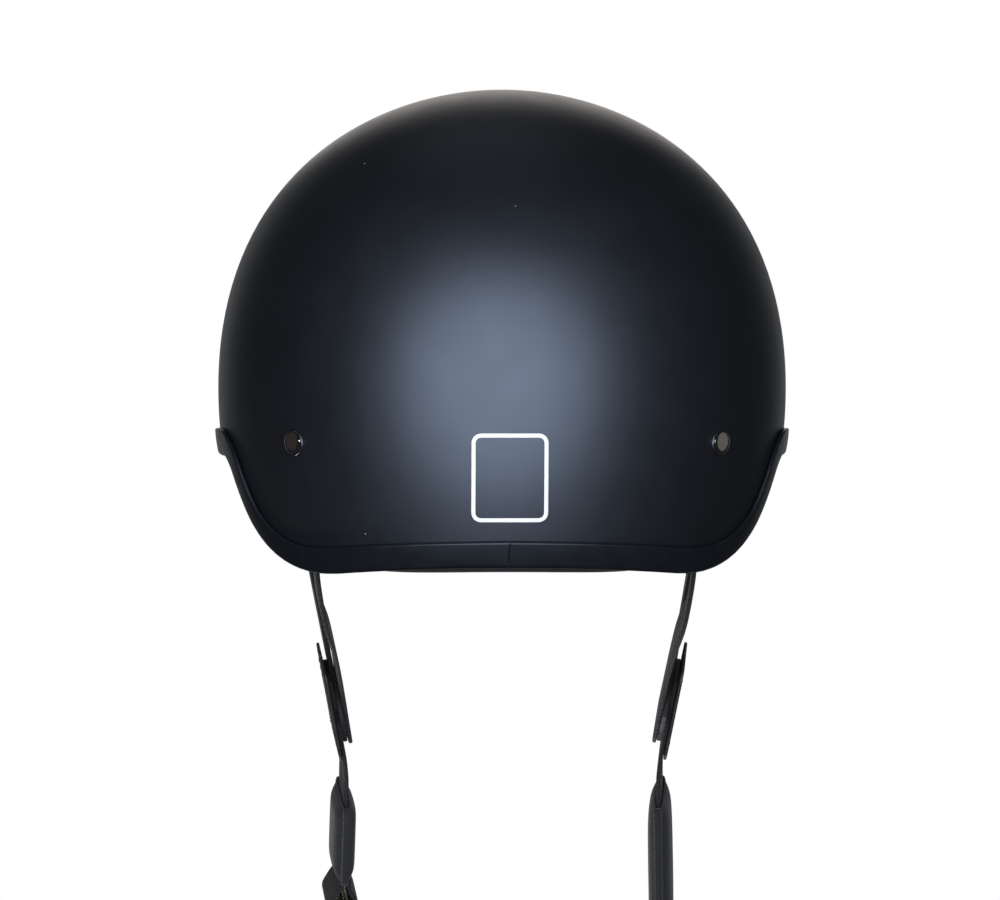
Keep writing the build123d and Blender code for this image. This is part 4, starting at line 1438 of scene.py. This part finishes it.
snap_profiles = {
    "snap_cap_dome": ("snap_cap", 0, beyond(face, 1, [
        (0, 0), (1.95, 0),
    ]) + beyond(hem_back, -1, [
        (1.95, 0), (6.1, 0), (6.25, 0.2), (6.25, 0.7), (6.0, 1.15), (5.2, 1.65), (3.9, 2.05), (2.1, 2.3),
        (0, 2.4),
    ])),
    "snap_socket_ring": ("snap_socket", 0, beyond(face, 1, [
        (0, 0.1), (5.25, 0.1), (6.25, 1), (6.1, 1.5), (5.5, 2.9), (5.1, 3.2), (4.1, 3.2), (3.7, 2.9),
        (3.9, 2.0), (3.7, 1), (0, 1),
    ])),
    "snap_stud_post": ("snap_stud", snap_spacing, beyond(face, 1, [
        (0, 0), (5.25, 0), (5.25, 0.6), (4.9, 1.0), (3.0, 1.1), (3.0, 1.7), (3.5, 2.4), (3.4, 2.9),
        (2.9, 3.25), (1.6, 3.4), (0, 3.4),
    ])),
    "snap_back_plate": ("snap_post", snap_spacing, beyond(face, 1, [
        (0, -0.1), (1.95, -0.1),
    ]) + beyond(face, -1, [(1.95, 0), (5.25, 0), (5.1, 0.4), (4.25, 0.85), (2.4, 1), (0, 1)])),
}
turned_out = Matrix.Rotation(math.radians(-90), 4, "X")
for name, (node, back, profile) in snap_profiles.items():
    start = strap_frame(long_drop - snap_inset - back) @ turned_out
    points, faces = spun(profile)
    places = [sided(start @ point, -1) for point in points]
    piece = make_piece(name, places, outward(places, faces), dark_metal)
    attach(piece, "right_harness")
    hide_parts(node)
print("press stud parts:", len(snap_profiles))

# %% [markdown]
# The transfer low on the back had printed matter on it that has no place on a part for everyone. Its pale
# rounded frame is kept, and the ground inside it, in the shell's own colour, is left bare. It is a film
# that follows the shell, so its rings of points are laid on a dome just outside the lacquer.

# %% Transfer
decal_width, decal_height, decal_middle, decal_corner = 28.5 * mm, 33 * mm, -33.4 * mm, 3.5 * mm
film_lift, film_top, film_shoulder = 0.05 * mm, 0.35 * mm, 0.245 * mm
film_insets = (0.12, 0.8, 1.5, 3, 4.5, 6.5, 8.5, 10.5, 12.5, 14)
frame_bands, outline_points, least_film_corner = 4, 120, 0.12 * mm
pale_ink, graph, shader = surface_material("pale_transfer_ink", "#dfe1e5", 0.4)
tinted(graph, shader, noise(graph, 3 * mm, 4.0), "#d2d5da", "#e9ebee")
varied(graph, shader, "Roughness", noise(graph, 2 * mm, 3.0), 0.34, 0.48)
film, graph, shader = surface_material("dark_transfer_film", "#0d0d0f", 0.41, {
    "Specular IOR Level": 1.0, "Specular Tint": cool_gleam,
})
tinted(graph, shader, noise(graph, 5 * mm, 3.0), "#0b0b0d", "#0f0f12")
varied(graph, shader, "Roughness", noise(graph, 3 * mm, 3.0), 0.4, 0.43)


def on_back(dome, x, z):
    """Point of the dome's back at a place seen from behind."""
    return Vector((x, dome.rear * math.sqrt(dome.share(z) ** 2 - (x / dome.radius) ** 2), z))


rings = []
for inset, lift in [(0, film_lift), (0, film_shoulder), *((inset, film_top) for inset in film_insets)]:
    outline = rounded_box(decal_width, decal_height, decal_corner, inset * mm, least_film_corner)
    outline, length = spread(outline, outline_points, closed=True)
    rings.append([on_back(Dome(-lift), point.x, point.y + decal_middle) for point in outline])
decal = make_piece("framed_transfer", *loft(rings), pale_ink)
decal.data.materials.append(film)
for i, polygon in enumerate(decal.data.polygons):
    polygon.material_index = 0 if i < frame_bands * outline_points else 1
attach(decal, "helmet")
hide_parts("rear_decal")
print("transfer faces:", len(decal.data.polygons))

# %% [markdown]
# Sewing is a rule too: a bead of thread every few millimetres along a line, laid along it and out of the
# surface. A tree spreads points on any lines and puts one stitch on each. The lines carry the surface's
# direction out, so the same tree sews the patches, the hem and the sleeves. A stitch has only a few
# faces.

# %% Stitches
stitch_length, stitch_width, stitch_height = 2.3 * mm, 0.55 * mm, 0.34 * mm
stitch_spacing = 3.1 * mm
stitch_steps, stitch_arch = 6, 0.3
stitch_rings = [[Vector((0, -stitch_length / 2, 0))]]
for i in range(1, stitch_steps):
    along = i / stitch_steps - 0.5
    fullness = math.sqrt(1 - (2 * along) ** 4) / 2
    rise = stitch_arch * math.cos(math.pi * along)
    ring = []
    for j in range(stitch_steps):
        turn = 2 * math.pi * j / stitch_steps
        x, z = fullness * math.cos(turn), rise + fullness * math.sin(turn)
        ring.append(Vector((x * stitch_width, along * stitch_length, z * stitch_height)))
    stitch_rings.append(ring)
stitch_rings.append([Vector((0, stitch_length / 2, 0))])
unit_stitch = make_piece("unit_stitch", *loft(stitch_rings), thread)

stitch_tree, entry = new_tree("stitches_along_lines", {
    "Stitch": "NodeSocketObject", "Spacing": "NodeSocketFloat", "Material": "NodeSocketMaterial",
})
lines = add_node(stitch_tree, "GeometryNodeMeshToCurve", {"Mesh": entry.outputs["Geometry"]})
spots = add_node(stitch_tree, "GeometryNodeCurveToPoints", {
    "Curve": lines.outputs[0], "Length": entry.outputs["Spacing"],
}, mode="LENGTH")
out = add_node(stitch_tree, "GeometryNodeInputNamedAttribute", {"Name": "out"}, data_type="FLOAT_VECTOR")
run_way = add_node(stitch_tree, "FunctionNodeAlignRotationToVector", {
    "Vector": spots.outputs["Tangent"],
}, axis="Y")
up_way = add_node(stitch_tree, "FunctionNodeAlignRotationToVector", {
    "Rotation": run_way.outputs[0], "Vector": out.outputs["Attribute"],
}, axis="Z", pivot_axis="Y")
original = add_node(stitch_tree, "GeometryNodeObjectInfo", {"Object": entry.outputs["Stitch"]})
sewn = add_node(stitch_tree, "GeometryNodeInstanceOnPoints", {
    "Points": spots.outputs["Points"], "Instance": original.outputs["Geometry"],
    "Rotation": up_way.outputs[0],
})
end_tree(stitch_tree, sewn.outputs[0], entry)


def stitch_row(frame_matrix, corners, way, side):
    """Row of (point, direction out) pairs along straight lines in a frame, facing one way along its Y."""
    out = sided(frame_matrix.to_3x3() @ Vector((0, way, 0)), side)
    row = []
    for start, end in zip(corners, corners[1:]):
        line = [Vector(start).lerp(Vector(end), i / line_steps) for i in range(line_steps + 1)]
        row += [(sided(frame_matrix @ point, side), out) for point in line]
    return row


line_steps, cross_steps = 8, 12
border_lift, cross_lift, flange_lift = 1.05 * mm, 1.25 * mm, 0.06 * mm
cross_inset, end_inset = 6.6 * mm, 2.2 * mm
sleeve_seam_share = 0.87
hem_out, hem_in, hem_low, hem_high = 0.95 * mm, -2.8 * mm, 2.5 * mm, 22 * mm
patch_border = rounded_box(patch_width, patch_height, patch_corner, seam_inset)
patch_lines = [(patch_border + patch_border[:1], border_lift)]
for way in (1, -1):
    tip = Vector((patch_width / 2 - cross_inset, -way * (patch_height / 2 - cross_inset)))
    patch_lines.append(([tip * (2 * i / cross_steps - 1) for i in range(cross_steps + 1)], cross_lift))
for word, side, length in (("left", 1, short_sleeve), ("right", -1, long_sleeve)):
    rows = []
    for line, lift in patch_lines:
        rows.append([(sided(on_patch(point, lift), side), sided(harness_out, side)) for point in line])
    middle = strap_frame(sleeve_inset + length / 2)
    x, z = sleeve_seam_share * sleeve_width / 2, length / 2 - end_inset
    for edge in (x, -x):
        for way in (1, -1):
            y = way * (flange_height / 2 + flange_lift)
            rows.append(stitch_row(middle, [(edge, y, -z), (edge, y, z)], way, side))
    if word == "right":
        x = strap_width / 2 - end_inset
        box = ((-x, hem_low), (x, hem_low), (x, hem_high), (-x, hem_high), (-x, hem_low))
        for y, way in ((hem_out, 1), (hem_in, -1)):
            rows.append(stitch_row(long_end, [(across, y, up) for across, up in box], way, side))
    points, directions = ([[pair[part] for pair in row] for row in rows] for part in (0, 1))
    sewing = line_object(f"sewing_{word}", points, directions)
    grown(sewing, stitch_tree, {"Stitch": unit_stitch, "Spacing": stitch_spacing, "Material": thread})
    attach(sewing, f"{word}_harness")
bpy.data.objects.remove(unit_stitch)
print("sewing faces:", len(sewing.data.polygons))

# %% [markdown]
# The flash is a wide soft box for the lacquer, but a polished dome is a mirror and would show the box
# itself. In the photograph each rivet shows one small spark, and beside it the walls of the room, a dim
# warm one and a pale one. The trim has a thin bright line along its shoulder, which a wide lamp would
# wash out. So some lamps light some pieces only: a small bare lamp beside the flash is for the rivets and
# the trim, and two walls are for the rivets. The lamp below stays off the trim, whose lower lip is black
# in the photograph.

# %% Lamps for some of the pieces
bare_size, wall_size = 0.14, 4.0
soft_box("bare_flash", (0.14, 1.9, 0.25), bare_size, bare_size, 8, "#ffffff")
soft_box("warm_wall", (2.35, 0.5, 0.1), wall_size, wall_size, 1.0, "#ffd0bc")
soft_box("pale_wall", (-2.35, 0.5, 0.1), wall_size, wall_size, 5.5, "#fff0e0")
lamp_links = {
    "flash": ("EXCLUDE", [rivets]), "under_fill": ("EXCLUDE", [rivets, trim]),
    "bare_flash": ("INCLUDE", [rivets, trim]),
    "warm_wall": ("INCLUDE", [rivets]), "pale_wall": ("INCLUDE", [rivets]),
}
for lamp_name, (state, linked_pieces) in lamp_links.items():
    group = bpy.data.collections.new(f"{lamp_name}_links")
    for piece in linked_pieces:
        group.objects.link(piece)
    for entry in group.collection_objects:
        entry.light_linking.link_state = state
    bpy.data.objects[lamp_name].light_linking.receiver_collection = group
print("lamps with their own pieces:", len(lamp_links))

# %% [markdown]
# The dressed model must keep the size of the CAD model, so both boxes are written down side by side.

# %% Sizes and finish
seen_low, seen_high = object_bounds()
for part, low, high in (("CAD", cad_low, cad_high), ("visual", seen_low, seen_high)):
    print(part, "box in mm:", [round(value / mm, 1) for value in (*low, *high)])
